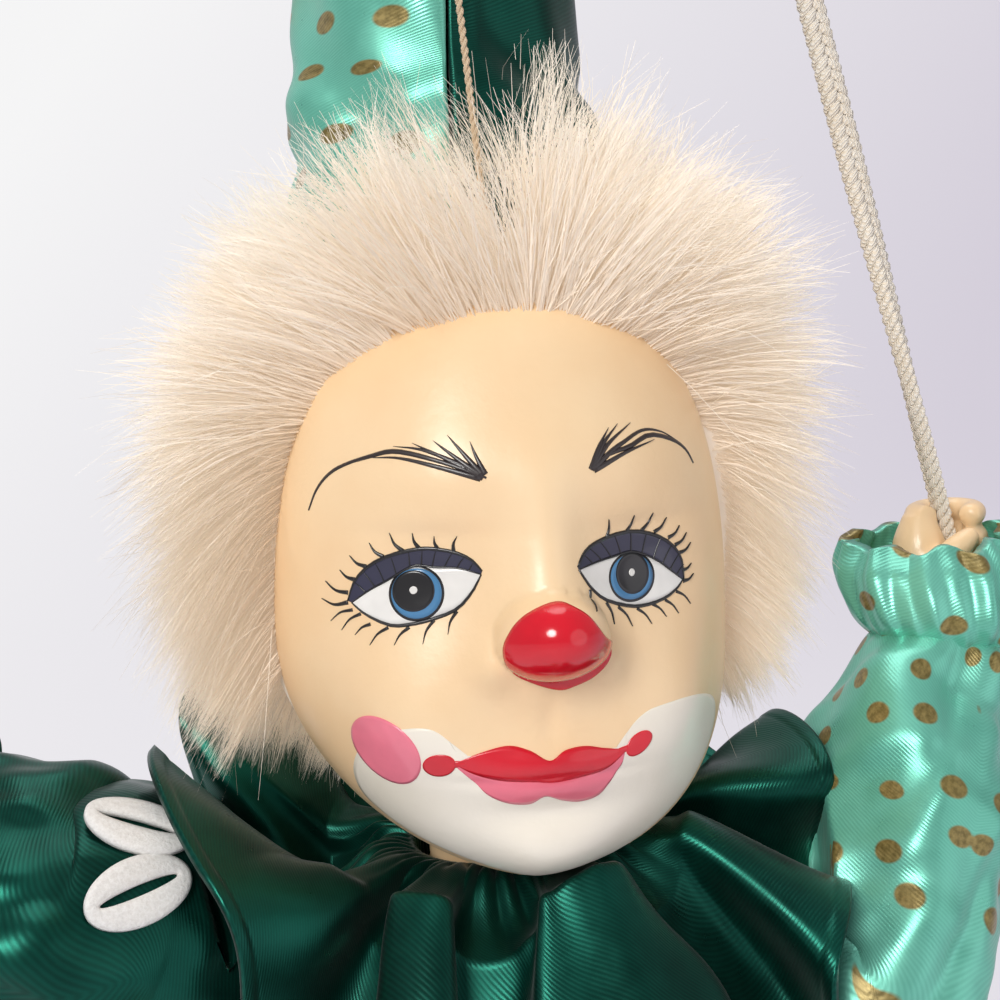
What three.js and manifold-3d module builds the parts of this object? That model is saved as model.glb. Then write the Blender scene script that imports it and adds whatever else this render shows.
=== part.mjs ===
// Porcelain clown doll on a rope swing, 1 unit = 1 mm, +Z up.
// The doll faces -Y and its left side is +X. The row's origin is the top inside of the hanging ring.
import * as THREE from 'three';
import { mergeVertices } from 'three/addons/utils/BufferGeometryUtils.js';
import Module from 'manifold-3d';

const wasm = await Module();
wasm.setup();

// Clearances
const SEAT_GAP = 0.3; // between two pieces that touch on the real doll
const COVER_GAP = 0.4; // between a stuffed piece or the porcelain and the cloth over it
const JOINT_GAP = 0.6; // between two pieces that turn on each other
const ROPE_HOLE_GAP = 0.5; // round a rope in the seat board and in a fist
const LINK_LAP = 0.15; // how far the links of a bent sleeve run into each other
const FACET_SLACK = 0.1; // how far a facet may leave the surface it stands for

// Seat board and its ropes; z = 0 is the top of the board while the doll is laid out
const SEAT_LENGTH = 150;
const SEAT_DEPTH = 62;
const SEAT_THICK = 8;
const SEAT_CORNER = 9;
const SEAT_CENTRE_Y = 14;
const SEAT_HOLE_INSET_X = 15; // hole centre from the board's end
const SEAT_HOLE_INSET_Y = 11; // hole centre from the board's long edge
const ROPE_WIDTH = 4.6;
const ROPE_THICK = 2.8;
const STRAND_WIDTH = 3.4;
const STRAND_THICK = 2.6;
const SPLIT_KNOT_RADIUS = 4.4;
const SPLIT_KNOT_LENGTH = 11;
const END_KNOT_RADIUS = 4.2;
const SPLIT_X = 86; // the knot where each rope parts into a front and a rear strand
const SPLIT_Z = 99;
const GRIP_X = 84;
const GRIP_Y = 18;
const GRIP_Z_LEFT = 153; // the doll's left fist holds its rope higher than the right one
const GRIP_Z_RIGHT = 146;

// Hanging ring and the tied bight under it
const RING_CENTRE_Z = 525;
const RING_RADIUS = 13;
const RING_BAR = 1.6;
const BIGHT_RADIUS = 4.6;
const BIGHT_BAR = 1.7;
const TOP_KNOT_RADIUS = 5.4;
const TOP_KNOT_LENGTH = 13;

// Head, measured from the eye line's level
const HEAD_Z = 155; // eye level above the seat board
const HEAD_TILT = THREE.MathUtils.degToRad(3.8); // the head leans towards its left shoulder
const HEAD_HALF_WIDTH = 32.2;
const HEAD_FRONT = 31.5;
const HEAD_BACK = 36;
const HEAD_CROWN = 50;
const HEAD_CHIN = 34;
const HEAD_WALL = 3;
const CROWN_CUT = 43; // height of the open crown that the pate closes
const NOSE_RISE = 8.5;
const NOSE_HALF_WIDTH = 6.6;
const NOSE_HALF_HEIGHT = 5.4;

// Neck: a ball in the cup of the shoulder plate, held by a pin and a felt washer
const NECK_Y = 3;
const NECK_RADIUS = 10.2;
const NECK_BALL_RADIUS = 11.5;
const NECK_BALL_Z = 110;
const NECK_PIN_RADIUS = 2;
const NECK_PIN_HEAD_RADIUS = 4.2;
const NECK_PIN_HEAD_THICK = 2.4;
const WASHER_RADIUS = 7.5;
const WASHER_THICK = 2;
const PLATE_TOP_Z = 111.5;
const PLATE_CEILING_Z = 93;
const PLATE_BASE_Z = 82;
const PLATE_HALF_WIDTH = 35;
const PLATE_HALF_DEPTH = 20;
const PLATE_WALL = 4;

// Wig, hat and string
const WIG_HALF_WIDTH = 48;
const WIG_FRONT = 29;
const WIG_BACK = 45;
const WIG_TOP = 74;
const WIG_HEM = 11; // how far the fur hangs below eye level at the sides
const FACE_OPENING_HALF_WIDTH = 29.5;
const FACE_OPENING_TOP = 38;
const HAT_BASE_Z = 42;
const HAT_BASE_RADIUS = 22.5;
const HAT_MID_RADIUS = 19.5;
const HAT_TIP_RADIUS = 3;
const POMPON_RADIUS = 10;
const STRING_RADIUS = 0.7;
const STRING_FRONT_Y = -23;

// Body, suit and collar
const TORSO_Y = 6;
const TORSO_HALF_WIDTH = 31;
const TORSO_HALF_DEPTH = 23;
const TORSO_TOP_Z = 81.7;
const SUIT_LOOSE = 4.6; // how far the suit stands off the stuffed body
const SUIT_TOP_Z = 101;
const COLLAR_RADIUS = 50;
const COLLAR_INNER_RADIUS = 16.2;
const COLLAR_Z = 106.5;
const COLLAR_RISE = 20;
const COLLAR_FOLDS = 10;
const COLLAR_WAVE = 10;
const COLLAR_THICK = 1.6;

// Arms
const SHOULDER = { x: 31, y: 4, z: 96 };
const ELBOW_LEFT = { x: 53, y: -6, z: 92 }; // the left elbow hangs low and the right one is held out
const ELBOW_RIGHT = { x: -62, y: -3, z: 111 };
const WRIST_LEFT = { x: 77, y: 7, z: 136 };
const WRIST_RIGHT = { x: -81, y: 8, z: 129 };
const ARM_RADIUS = 8.6;
const FOREARM_RADIUS = 6;
const SLEEVE_SHOULDER_RADIUS = 15;
const SLEEVE_ELBOW_RADIUS = 19.5;
const SLEEVE_WRIST_RADIUS = 12;
const CUFF_RADIUS_LEFT = 16;
const CUFF_RADIUS_RIGHT = 12.6;
const CUFF_LENGTH = 15;
const FIST_ROOM = 9.4; // half width of the hollow that the fist sits in
const FINGER_RADIUS = 2.3;
const FINGER_PITCH = 4.2;
const FINGER_COUNT = 4;

// White slotted ovals on the right shoulder
const OVAL_HALF_LENGTH = 7.2;
const OVAL_HALF_WIDTH = 5;
const OVAL_THICK = 1.1;
const OVAL_SLOT_HALF_LENGTH = 5.2;
const OVAL_SLOT_HALF_WIDTH = 1;

// Legs
const HIP = { x: 18, y: 0, z: 18.5 };
const KNEE = { x: 20, y: -56, z: 15.5 };
const HIP_BALL_RADIUS = 17;
const KNEE_BALL_RADIUS = 14.5;
const SHIN_LENGTH = 92; // knee to sole
const SHIN_TOP_RADIUS = 8.6;
const ANKLE_RADIUS = 6.4;
const TROUSER_SHIN_RADIUS = 14;
const TROUSER_HEM_ABOVE_SOLE = 24;
const ANKLE_FRILL_RADIUS = 14.5;
const SHOE_LENGTH = 40;
const SHOE_HALF_WIDTH = 10;
const SHOE_HEIGHT = 15;
const HIP_LIFT = [0, 15, 30]; // degrees that the thigh is cleared for
const KNEE_SWING = [-20, 45]; // degrees that the shin is cleared for

const X_AXIS = new THREE.Vector3(1, 0, 0);
const Y_AXIS = new THREE.Vector3(0, 1, 0);

const vec = (x, y, z) => new THREE.Vector3(x, y, z);
const at = (p) => vec(p.x, p.y, p.z);
const mirrored = (p) => vec(-p.x, p.y, p.z);

// Closed solid of a three.js geometry, with its faces pointing out
function solidOf(source) {
  const bare = source.clone();
  bare.deleteAttribute('normal');
  bare.deleteAttribute('uv');
  const merged = mergeVertices(bare.index ? bare : bare, 1e-4);
  const points = merged.attributes.position.array;
  const faces = Array.from(merged.index.array);
  const kept = [];
  let volume = 0;
  const [a, b, c] = [vec(0, 0, 0), vec(0, 0, 0), vec(0, 0, 0)];
  for (let i = 0; i < faces.length; i += 3) {
    const [p, q, r] = faces.slice(i, i + 3);
    if (p === q || q === r || r === p) continue;
    kept.push(p, q, r);
    a.fromArray(points, 3 * p);
    b.fromArray(points, 3 * q);
    c.fromArray(points, 3 * r);
    volume += a.dot(b.cross(c)) / 6;
  }
  if (volume < 0) {
    for (let i = 0; i < kept.length; i += 3) {
      [kept[i + 1], kept[i + 2]] = [kept[i + 2], kept[i + 1]];
    }
  }
  const mesh = new wasm.Mesh({
    numProp: 3,
    vertProperties: new Float32Array(points),
    triVerts: new Uint32Array(kept),
  });
  return new wasm.Manifold(mesh);
}

// three.js geometry of a solid
function geometryOf(solid) {
  const mesh = solid.getMesh();
  const geometry = new THREE.BufferGeometry();
  const points = new Float32Array(mesh.numVert * 3);
  for (let i = 0; i < mesh.numVert; i += 1) {
    for (let k = 0; k < 3; k += 1) points[3 * i + k] = mesh.vertProperties[mesh.numProp * i + k];
  }
  geometry.setAttribute('position', new THREE.BufferAttribute(points, 3));
  geometry.setIndex(Array.from(mesh.triVerts));
  geometry.computeVertexNormals();
  return geometry;
}

// The largest connected body of a solid; the slivers that a cut leaves are dropped
function mainBody(solid) {
  const bodies = solid.decompose();
  bodies.sort((p, q) => q.volume() - p.volume());
  return bodies[0];
}

const turned = (solid, axis, degrees, pivot) => {
  const move = new THREE.Matrix4().makeTranslation(pivot.x, pivot.y, pivot.z);
  move.multiply(new THREE.Matrix4().makeRotationAxis(axis, THREE.MathUtils.degToRad(degrees)));
  move.multiply(new THREE.Matrix4().makeTranslation(-pivot.x, -pivot.y, -pivot.z));
  return solid.transform(move.elements);
};

const cutBy = (solid, ...cutters) => cutters.reduce((left, cutter) => left.subtract(cutter), solid);

const joined = (...solids) => solids.reduce((sum, solid) => sum.add(solid));

// Closed skin from rings of points; each end is closed by a fan about its ring's centre
function skin(rings) {
  const count = rings[0].length;
  const points = [];
  const faces = [];
  rings.forEach((ring) => ring.forEach((p) => points.push(p.x, p.y, p.z)));
  for (let i = 0; i + 1 < rings.length; i += 1) {
    for (let j = 0; j < count; j += 1) {
      const [p, q] = [i * count + j, i * count + ((j + 1) % count)];
      faces.push(p, q, q + count, p, q + count, p + count);
    }
  }
  [0, rings.length - 1].forEach((end) => {
    const middle = middleOf(rings[end]);
    const tip = points.length / 3;
    points.push(middle.x, middle.y, middle.z);
    for (let j = 0; j < count; j += 1) {
      const [p, q] = [end * count + j, end * count + ((j + 1) % count)];
      faces.push(...(end === 0 ? [tip, q, p] : [tip, p, q]));
    }
  });
  const geometry = new THREE.BufferGeometry();
  geometry.setAttribute('position', new THREE.Float32BufferAttribute(points, 3));
  geometry.setIndex(faces);
  return solidOf(geometry);
}

// Loft through stations { p, r, r2, flutes, flute }: oval sections square to the line of centres,
// or level ones; grow moves the whole skin out, its ends too
function ringsOf(stations, sides, side = X_AXIS, grow = 0, level = false) {
  const centres = stations.map((s) => s.p.clone());
  const last = centres.length - 1;
  centres[0].addScaledVector(centres[0].clone().sub(centres[1]).normalize(), grow);
  centres[last].addScaledVector(centres[last].clone().sub(centres[last - 1]).normalize(), grow);
  const rings = stations.map((s, i) => {
    const before = centres[Math.max(0, i - 1)];
    const after = centres[Math.min(last, i + 1)];
    const along = level ? vec(0, 0, Math.sign(after.z - before.z)) : after.clone().sub(before).normalize();
    const u = side.clone().addScaledVector(along, -side.dot(along)).normalize();
    const v = along.clone().cross(u);
    const ring = [];
    for (let j = 0; j < sides; j += 1) {
      const turn = (2 * Math.PI * j) / sides;
      const wave = 1 + (s.flute ?? 0) * Math.cos((s.flutes ?? 0) * turn);
      const [ru, rv] = [(s.r + grow) * wave, ((s.r2 ?? s.r) + grow) * wave];
      ring.push(centres[i].clone().addScaledVector(u, ru * Math.cos(turn)).addScaledVector(v, rv * Math.sin(turn)));
    }
    return ring;
  });
  return rings;
}
const loft = (...line) => skin(ringsOf(...line));

// The room that a moving piece sweeps through, as one bulging solid
const hullOf = (solids) => wasm.Manifold.hull(solids);

const middleOf = (ring) => ring.reduce((sum, p) => sum.add(p), vec(0, 0, 0)).divideScalar(ring.length);

// Bulging links joined end to end, for a line that bends more sharply than its own width
function chain(...line) {
  const rings = ringsOf(...line);
  const links = rings.slice(1).map((ring, i) => {
    const way = middleOf(ring).sub(middleOf(rings[i])).normalize().multiplyScalar(LINK_LAP);
    const ends = [...rings[i].map((p) => p.clone().sub(way)), ...ring.map((p) => p.clone().add(way))];
    return hullOf(ends.map((p) => [p.x, p.y, p.z]));
  });
  return mainBody(joined(...links)).simplify(LINK_LAP);
}

const ballAt = (p, radius, columns = 20, rows = 14) => {
  const ball = new THREE.SphereGeometry(radius, columns, rows);
  ball.translate(p.x, p.y, p.z);
  return solidOf(ball);
};

const eggAt = (p, rx, ry, rz, columns = 10, rows = 7) => {
  const egg = new THREE.SphereGeometry(1, columns, rows);
  egg.scale(rx, ry, rz);
  egg.translate(p.x, p.y, p.z);
  return solidOf(egg);
};

// Upright cylinder between two heights
const postAt = (x, y, low, high, radius, sides = 20) => {
  const post = new THREE.CylinderGeometry(radius, radius, high - low, sides);
  post.rotateX(Math.PI / 2);
  post.translate(x, y, (low + high) / 2);
  return solidOf(post);
};

const blockAt = (low, high) => {
  const block = new THREE.BoxGeometry(high.x - low.x, high.y - low.y, high.z - low.z);
  block.translate((low.x + high.x) / 2, (low.y + high.y) / 2, (low.z + high.z) / 2);
  return solidOf(block);
};

// Flat braided rope along a list of points
function rope(points, width, thick, steps, grow = 0) {
  const section = new THREE.Shape();
  section.absellipse(0, 0, thick / 2 + grow, width / 2 + grow, 0, 2 * Math.PI);
  const path = new THREE.CatmullRomCurve3(points, false, 'centripetal');
  return solidOf(new THREE.ExtrudeGeometry(section, { steps, curveSegments: 4, extrudePath: path }));
}

// Oval profile height: 1 at the middle, 0 at the ends, with its own fullness
const arch = (t, fullness) => Math.max(0, 1 - Math.abs(t) ** fullness) ** (1 / fullness);

// Head section at height z: half width, depth in front and depth behind
function headSection(z, inset) {
  const crown = HEAD_CROWN - inset;
  const chin = HEAD_CHIN - inset;
  const upper = (from) => (z - from) / (crown - from);
  const lower = (from) => (from - z) / (from + chin);
  const widest = -2;
  const frontal = 8;
  const occipital = 14;
  const width = z > widest ? arch(upper(widest), 2.2) : arch(lower(widest), 2);
  const front = z > frontal ? arch(upper(frontal), 2.3) : arch(lower(frontal), 3.2);
  const back = z > occipital ? arch(upper(occipital), 2.2) : arch(lower(occipital), 2);
  return {
    width: (HEAD_HALF_WIDTH - inset) * width,
    front: (HEAD_FRONT - inset) * front,
    back: (HEAD_BACK - inset) * back,
  };
}

const mound = (u, v) => Math.exp(-(u * u + v * v));

// Relief of the face over the plain head, by distance round from the midline and height
function faceRelief(across, z) {
  const side = Math.abs(across);
  const cap = Math.max(0, 1 - (across / NOSE_HALF_WIDTH) ** 2 - ((z - 0.5) / NOSE_HALF_HEIGHT) ** 2);
  return NOSE_RISE * 0.62 * cap ** 0.5
    + NOSE_RISE * 0.5 * mound(across / 7.5, (z - 1) / 8)
    + 1.8 * mound(across / 4, (z - 11) / 9)
    - 2.6 * mound((side - 14) / 8, (z - 6.5) / 6)
    + 1.3 * mound(across / 22, (z - 20) / 6)
    + 2.2 * mound((side - 17) / 8, (z + 11) / 8)
    + 1.5 * mound(across / 11, (z + 16.5) / 4)
    - 0.9 * mound(across / 8, (z + 23) / 2.4)
    + 2.6 * mound(across / 10, (z + 29) / 5);
}

// Head skin: rings of constant height from chin to crown
function headSkin(rows, columns, inset) {
  const rings = [];
  const bottom = -HEAD_CHIN + inset;
  const top = HEAD_CROWN - inset;
  for (let i = 1; i < rows; i += 1) {
    const z = bottom + ((top - bottom) * (1 - Math.cos((Math.PI * i) / rows))) / 2;
    const section = headSection(z, inset);
    const ring = [];
    for (let j = 0; j < columns; j += 1) {
      const even = (2 * Math.PI * j) / columns;
      const turn = even - 0.35 * Math.sin(even);
      const [s, c] = [Math.sin(turn), Math.cos(turn)];
      const flat = (Math.abs(s) ** 2.15 + Math.abs(c) ** 2.15) ** (-1 / 2.15);
      const depth = c > 0 ? section.front : section.back;
      const across = (turn > Math.PI ? turn - 2 * Math.PI : turn) * HEAD_HALF_WIDTH;
      const facing = Math.max(0, c) ** 0.5;
      const rise = inset > 0 ? 0 : faceRelief(across, z) * facing;
      ring.push(vec(section.width * flat * s + rise * s, -(depth * flat * c + rise * c), z + HEAD_Z));
    }
    rings.push(ring);
  }
  return skin(rings);
}

const group = new THREE.Group();
const tilted = new THREE.Group();

function add(name, whole, color, roughness, metalness = 0, parent = group) {
  const solid = whole.simplify(FACET_SLACK);
  const material = new THREE.MeshStandardMaterial({ color, roughness, metalness });
  const mesh = new THREE.Mesh(geometryOf(solid), material);
  mesh.name = name;
  parent.add(mesh);
  return mesh;
}

const PORCELAIN = 0xf2cfa5;
const EMERALD = 0x0e5a49;
const MINT = 0x6fc9b4;
const FUR = 0xeadfcd;
const ROPE_CREAM = 0xeadfc4;
const MUSLIN = 0xe8dcc6;
const PINE = 0xc99a5b;

// Tilt of the head about the middle of the neck ball
const NECK_PIVOT = vec(0, NECK_Y, NECK_BALL_Z);
const asTilted = (solid) => turned(solid, Y_AXIS, THREE.MathUtils.radToDeg(HEAD_TILT), NECK_PIVOT);
const tiltedPoint = (p) => p.clone().sub(NECK_PIVOT).applyAxisAngle(Y_AXIS, HEAD_TILT).add(NECK_PIVOT);

// Head shell: hollow porcelain with an open crown and a ball-ended neck
const headOuter = headSkin(26, 28, 0);
const headGrown = headSkin(26, 28, -COVER_GAP);
const headCavity = headSkin(9, 12, HEAD_WALL);
const aboveCrown = (z) => blockAt(vec(-60, -60, HEAD_Z + z), vec(60, 60, HEAD_Z + 120));
const neck = postAt(0, NECK_Y, NECK_BALL_Z, HEAD_Z - HEAD_CHIN + 10, NECK_RADIUS, 18);
const neckBall = ballAt(NECK_PIVOT, NECK_BALL_RADIUS, 18, 12);
const pinSocketTop = NECK_BALL_Z - NECK_BALL_RADIUS + 9;
const pinBottom = PLATE_CEILING_Z - SEAT_GAP - WASHER_THICK - SEAT_GAP;
const pinSocket = postAt(0, NECK_Y, pinBottom, pinSocketTop, NECK_PIN_RADIUS + SEAT_GAP, 12);
const headShell = mainBody(cutBy(
  joined(cutBy(headOuter, headCavity), cutBy(neck, headCavity), neckBall),
  aboveCrown(CROWN_CUT),
  turned(pinSocket, Y_AXIS, -THREE.MathUtils.radToDeg(HEAD_TILT), NECK_PIVOT),
));
add('head_shell', asTilted(headShell), PORCELAIN, 0.35);

const pate = mainBody(cutBy(headOuter.intersect(aboveCrown(CROWN_CUT + SEAT_GAP)), headCavity));
add('crown_pate', asTilted(pate), 0xcdbb98, 0.9);

// Neck pin with its head, and the felt washer under the shoulder plate
const pinShank = postAt(0, NECK_Y, pinBottom - SEAT_GAP, pinSocketTop - SEAT_GAP, NECK_PIN_RADIUS, 12);
const pinHeadTop = pinBottom - SEAT_GAP / 2;
const pinHead = postAt(0, NECK_Y, pinHeadTop - NECK_PIN_HEAD_THICK, pinHeadTop, NECK_PIN_HEAD_RADIUS, 16);
add('neck_pin', joined(pinShank, pinHead), 0xb08d4a, 0.4, 0.9);

const washerLow = PLATE_CEILING_Z - SEAT_GAP - WASHER_THICK;
const washer = cutBy(
  postAt(0, NECK_Y, washerLow, washerLow + WASHER_THICK, WASHER_RADIUS, 20),
  postAt(0, NECK_Y, washerLow - 1, washerLow + WASHER_THICK + 1, NECK_PIN_RADIUS + SEAT_GAP, 12),
);
add('neck_washer', washer, 0xb7aa96, 0.95);

// Shoulder plate: porcelain bust with the cup for the neck ball
function plateLoft(inset) {
  const wide = PLATE_HALF_WIDTH - inset;
  const deep = PLATE_HALF_DEPTH - inset;
  const top = inset > 0 ? PLATE_CEILING_Z : PLATE_TOP_Z;
  const neckHalf = COLLAR_INNER_RADIUS - 0.6 - Math.max(0, inset) * 1.6 - Math.min(0, inset);
  const y = (t) => TORSO_Y + (NECK_Y - TORSO_Y) * t;
  const rise = top - PLATE_BASE_Z;
  return loft([
    { p: vec(0, y(0), PLATE_BASE_Z - (inset > 0 ? 1 : 0)), r: wide, r2: deep },
    { p: vec(0, y(0.2), PLATE_BASE_Z + rise * 0.25), r: wide * 0.95, r2: deep * 0.95 },
    { p: vec(0, y(0.6), PLATE_BASE_Z + rise * 0.45), r: wide * 0.74, r2: deep * 0.9 },
    { p: vec(0, y(1), PLATE_BASE_Z + rise * 0.64), r: neckHalf + 1.4, r2: neckHalf + 0.4 },
    { p: vec(0, y(1), PLATE_BASE_Z + rise * 0.78), r: neckHalf, r2: neckHalf },
    { p: vec(0, y(1), top), r: neckHalf, r2: neckHalf },
  ], 24, X_AXIS, 0, true);
}
const neckCup = ballAt(NECK_PIVOT, NECK_BALL_RADIUS + JOINT_GAP, 18, 12);
const pinHole = postAt(0, NECK_Y, PLATE_BASE_Z, PLATE_TOP_Z, NECK_PIN_RADIUS + JOINT_GAP, 12);
const plateFilled = plateLoft(0);
const plateGrown = plateLoft(-COVER_GAP);
add('shoulder_plate', mainBody(cutBy(plateFilled, plateLoft(PLATE_WALL), neckCup, pinHole)), PORCELAIN, 0.4);

// Hat: a soft cone of two panels that flops over behind the string
const hatLine = [
  { p: vec(0, 3, HAT_BASE_Z), r: HAT_BASE_RADIUS },
  { p: vec(0, 3.5, HAT_BASE_Z + 8), r: HAT_BASE_RADIUS + 0.6 },
  { p: vec(0, 4, HAT_BASE_Z + 20), r: HAT_BASE_RADIUS - 1 },
  { p: vec(0, 5, HAT_BASE_Z + 29), r: HAT_MID_RADIUS + 0.6 },
  { p: vec(-0.5, 6, HAT_BASE_Z + 42), r: HAT_MID_RADIUS },
  { p: vec(-2, 9, HAT_BASE_Z + 58), r: HAT_MID_RADIUS * 0.88 },
  { p: vec(-6, 15, HAT_BASE_Z + 74), r: HAT_MID_RADIUS * 0.7 },
  { p: vec(-13, 23, HAT_BASE_Z + 84), r: HAT_MID_RADIUS * 0.54 },
  { p: vec(-22, 31, HAT_BASE_Z + 85), r: HAT_MID_RADIUS * 0.4 },
  { p: vec(-31, 38, HAT_BASE_Z + 78), r: HAT_MID_RADIUS * 0.28 },
  { p: vec(-38, 43, HAT_BASE_Z + 67), r: HAT_TIP_RADIUS },
].map((s) => ({ ...s, p: s.p.clone().add(vec(0, 0, HEAD_Z)) }));
const hatWhole = cutBy(loft(hatLine, 18), headGrown);
const hatSeam = (low, high) => skin([low, high].map((x) => [
  vec(x, -60, HEAD_Z), vec(x, 90, HEAD_Z), vec(x, 90, HEAD_Z + 160), vec(x, -60, HEAD_Z + 160),
]));
const SEAM_X = -2.5;
add('hat_mint_panel', asTilted(mainBody(hatWhole.intersect(hatSeam(-90, SEAM_X - SEAT_GAP / 2)))), MINT, 0.4);
add('hat_green_panel', asTilted(mainBody(hatWhole.intersect(hatSeam(SEAM_X + SEAT_GAP / 2, 90)))), EMERALD, 0.4);
const hatTip = hatLine[hatLine.length - 1].p;
const beforeTip = hatLine[hatLine.length - 2].p;
const tipWay = hatTip.clone().sub(beforeTip).normalize();
const pomponCentre = hatTip.clone().addScaledVector(tipWay, POMPON_RADIUS * 0.72);
const hatGrown = loft(hatLine, 18, X_AXIS, SEAT_GAP);
add('hat_pompon', asTilted(mainBody(cutBy(ballAt(pomponCentre, POMPON_RADIUS, 12, 9), hatGrown))), FUR, 0.95);

// Wig: long-pile fur cap with the face left open, and a hollow for the hat
function wigSkin() {
  const profile = [
    [0.34, WIG_TOP - 1], [0.62, WIG_TOP * 0.9], [0.84, WIG_TOP * 0.7], [0.96, WIG_TOP * 0.44],
    [1, WIG_TOP * 0.2], [0.98, 0], [0.9, -WIG_HEM * 0.75], [0.8, -WIG_HEM], [0.66, -WIG_HEM - 3],
  ].reverse();
  const rings = profile.map(([spread, z]) => {
    const ring = [];
    for (let j = 0; j < 28; j += 1) {
      const turn = (2 * Math.PI * j) / 28;
      const depth = Math.cos(turn) > 0 ? WIG_FRONT : WIG_BACK;
      const tuft = 1 + 0.035 * Math.cos(7 * turn);
      ring.push(vec(
        WIG_HALF_WIDTH * spread * tuft * Math.sin(turn),
        -depth * spread * tuft * Math.cos(turn),
        z + HEAD_Z,
      ));
    }
    return ring;
  });
  return skin(rings);
}
const faceOpening = skin([2, -34, -70].map((y, k) => {
  const ring = [];
  const flare = 1 + 0.24 * k;
  for (let j = 0; j < 24; j += 1) {
    const turn = (2 * Math.PI * j) / 24;
    const reach = Math.sin(turn) > 0 ? FACE_OPENING_TOP : 60;
    ring.push(vec(FACE_OPENING_HALF_WIDTH * flare * Math.cos(turn), y, HEAD_Z + reach * flare * Math.sin(turn)));
  }
  return ring;
}));
const wig = mainBody(cutBy(wigSkin(), headGrown, faceOpening, hatGrown));
add('fur_wig', asTilted(wig), FUR, 0.95);

// Head string: tied at the crown in front of the hat and carried up to the knot under the ring
const RING_Y = NECK_Y; // the string's top stays on the axis that the head turns about
const barZ = RING_CENTRE_Z - RING_RADIUS;
const bightZ = barZ - (BIGHT_RADIUS - BIGHT_BAR - RING_BAR - SEAT_GAP);
const topKnotZ = bightZ - BIGHT_RADIUS - TOP_KNOT_LENGTH * 0.4;
const topKnotLow = topKnotZ - TOP_KNOT_LENGTH / 2;
const stringFoot = tiltedPoint(vec(0, STRING_FRONT_Y, HEAD_Z + 46));
const stringPath = new THREE.LineCurve3(stringFoot, vec(0, RING_Y, topKnotLow + 1));
const stringSection = new THREE.Shape();
stringSection.absellipse(0, 0, STRING_RADIUS, STRING_RADIUS, 0, 2 * Math.PI);
const stringWhole = solidOf(new THREE.ExtrudeGeometry(stringSection, {
  steps: 4, curveSegments: 4, extrudePath: stringPath,
}));
const topKnotGrown = eggAt(
  vec(0, RING_Y, topKnotZ), TOP_KNOT_RADIUS + SEAT_GAP, TOP_KNOT_RADIUS + SEAT_GAP, TOP_KNOT_LENGTH / 2 + SEAT_GAP,
);
const wigGrown = joined(wig.translate([0, 0, SEAT_GAP]), wigSkin().translate([0, 0, SEAT_GAP]));
add('head_string', mainBody(cutBy(stringWhole, topKnotGrown, asTilted(wigGrown))), ROPE_CREAM, 0.9);

// Hanging ring, and the bight of rope tied round it
const ring = new THREE.TorusGeometry(RING_RADIUS, RING_BAR, 8, 28);
ring.rotateX(Math.PI / 2);
ring.translate(0, RING_Y, RING_CENTRE_Z);
add('hanging_ring', solidOf(ring), 0xc9a24a, 0.3, 0.9);
const bight = new THREE.TorusGeometry(BIGHT_RADIUS, BIGHT_BAR, 8, 16);
bight.rotateY(Math.PI / 2);
bight.translate(0, RING_Y, bightZ);
const topKnot = eggAt(vec(0, RING_Y, topKnotZ), TOP_KNOT_RADIUS, TOP_KNOT_RADIUS, TOP_KNOT_LENGTH / 2);
add('top_knot', joined(solidOf(bight), topKnot), ROPE_CREAM, 0.9);

// Ropes from the top knot through each fist to the split knot, and strands on to the seat board
const holeX = SEAT_LENGTH / 2 - SEAT_HOLE_INSET_X;
const holeYs = { front: SEAT_CENTRE_Y - SEAT_DEPTH / 2 + SEAT_HOLE_INSET_Y,
  rear: SEAT_CENTRE_Y + SEAT_DEPTH / 2 - SEAT_HOLE_INSET_Y };
const gripPoint = (side, z) => vec(side * GRIP_X, GRIP_Y, z);
const splitPoint = (side) => vec(side * SPLIT_X, GRIP_Y, SPLIT_Z);
const ropePoints = (side, gripZ) => {
  const top = vec(side * 2.6, RING_Y, topKnotZ - TOP_KNOT_LENGTH * 0.3);
  const grip = gripPoint(side, gripZ + 4);
  const between = (t) => top.clone().lerp(grip, t);
  return [top, between(0.25), between(0.5), between(0.75), grip, gripPoint(side, gripZ - 8), splitPoint(side)];
};
const ropeGrowns = {};
const splitKnots = {};
const hands = { left: { side: 1, gripZ: GRIP_Z_LEFT }, right: { side: -1, gripZ: GRIP_Z_RIGHT } };
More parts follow.
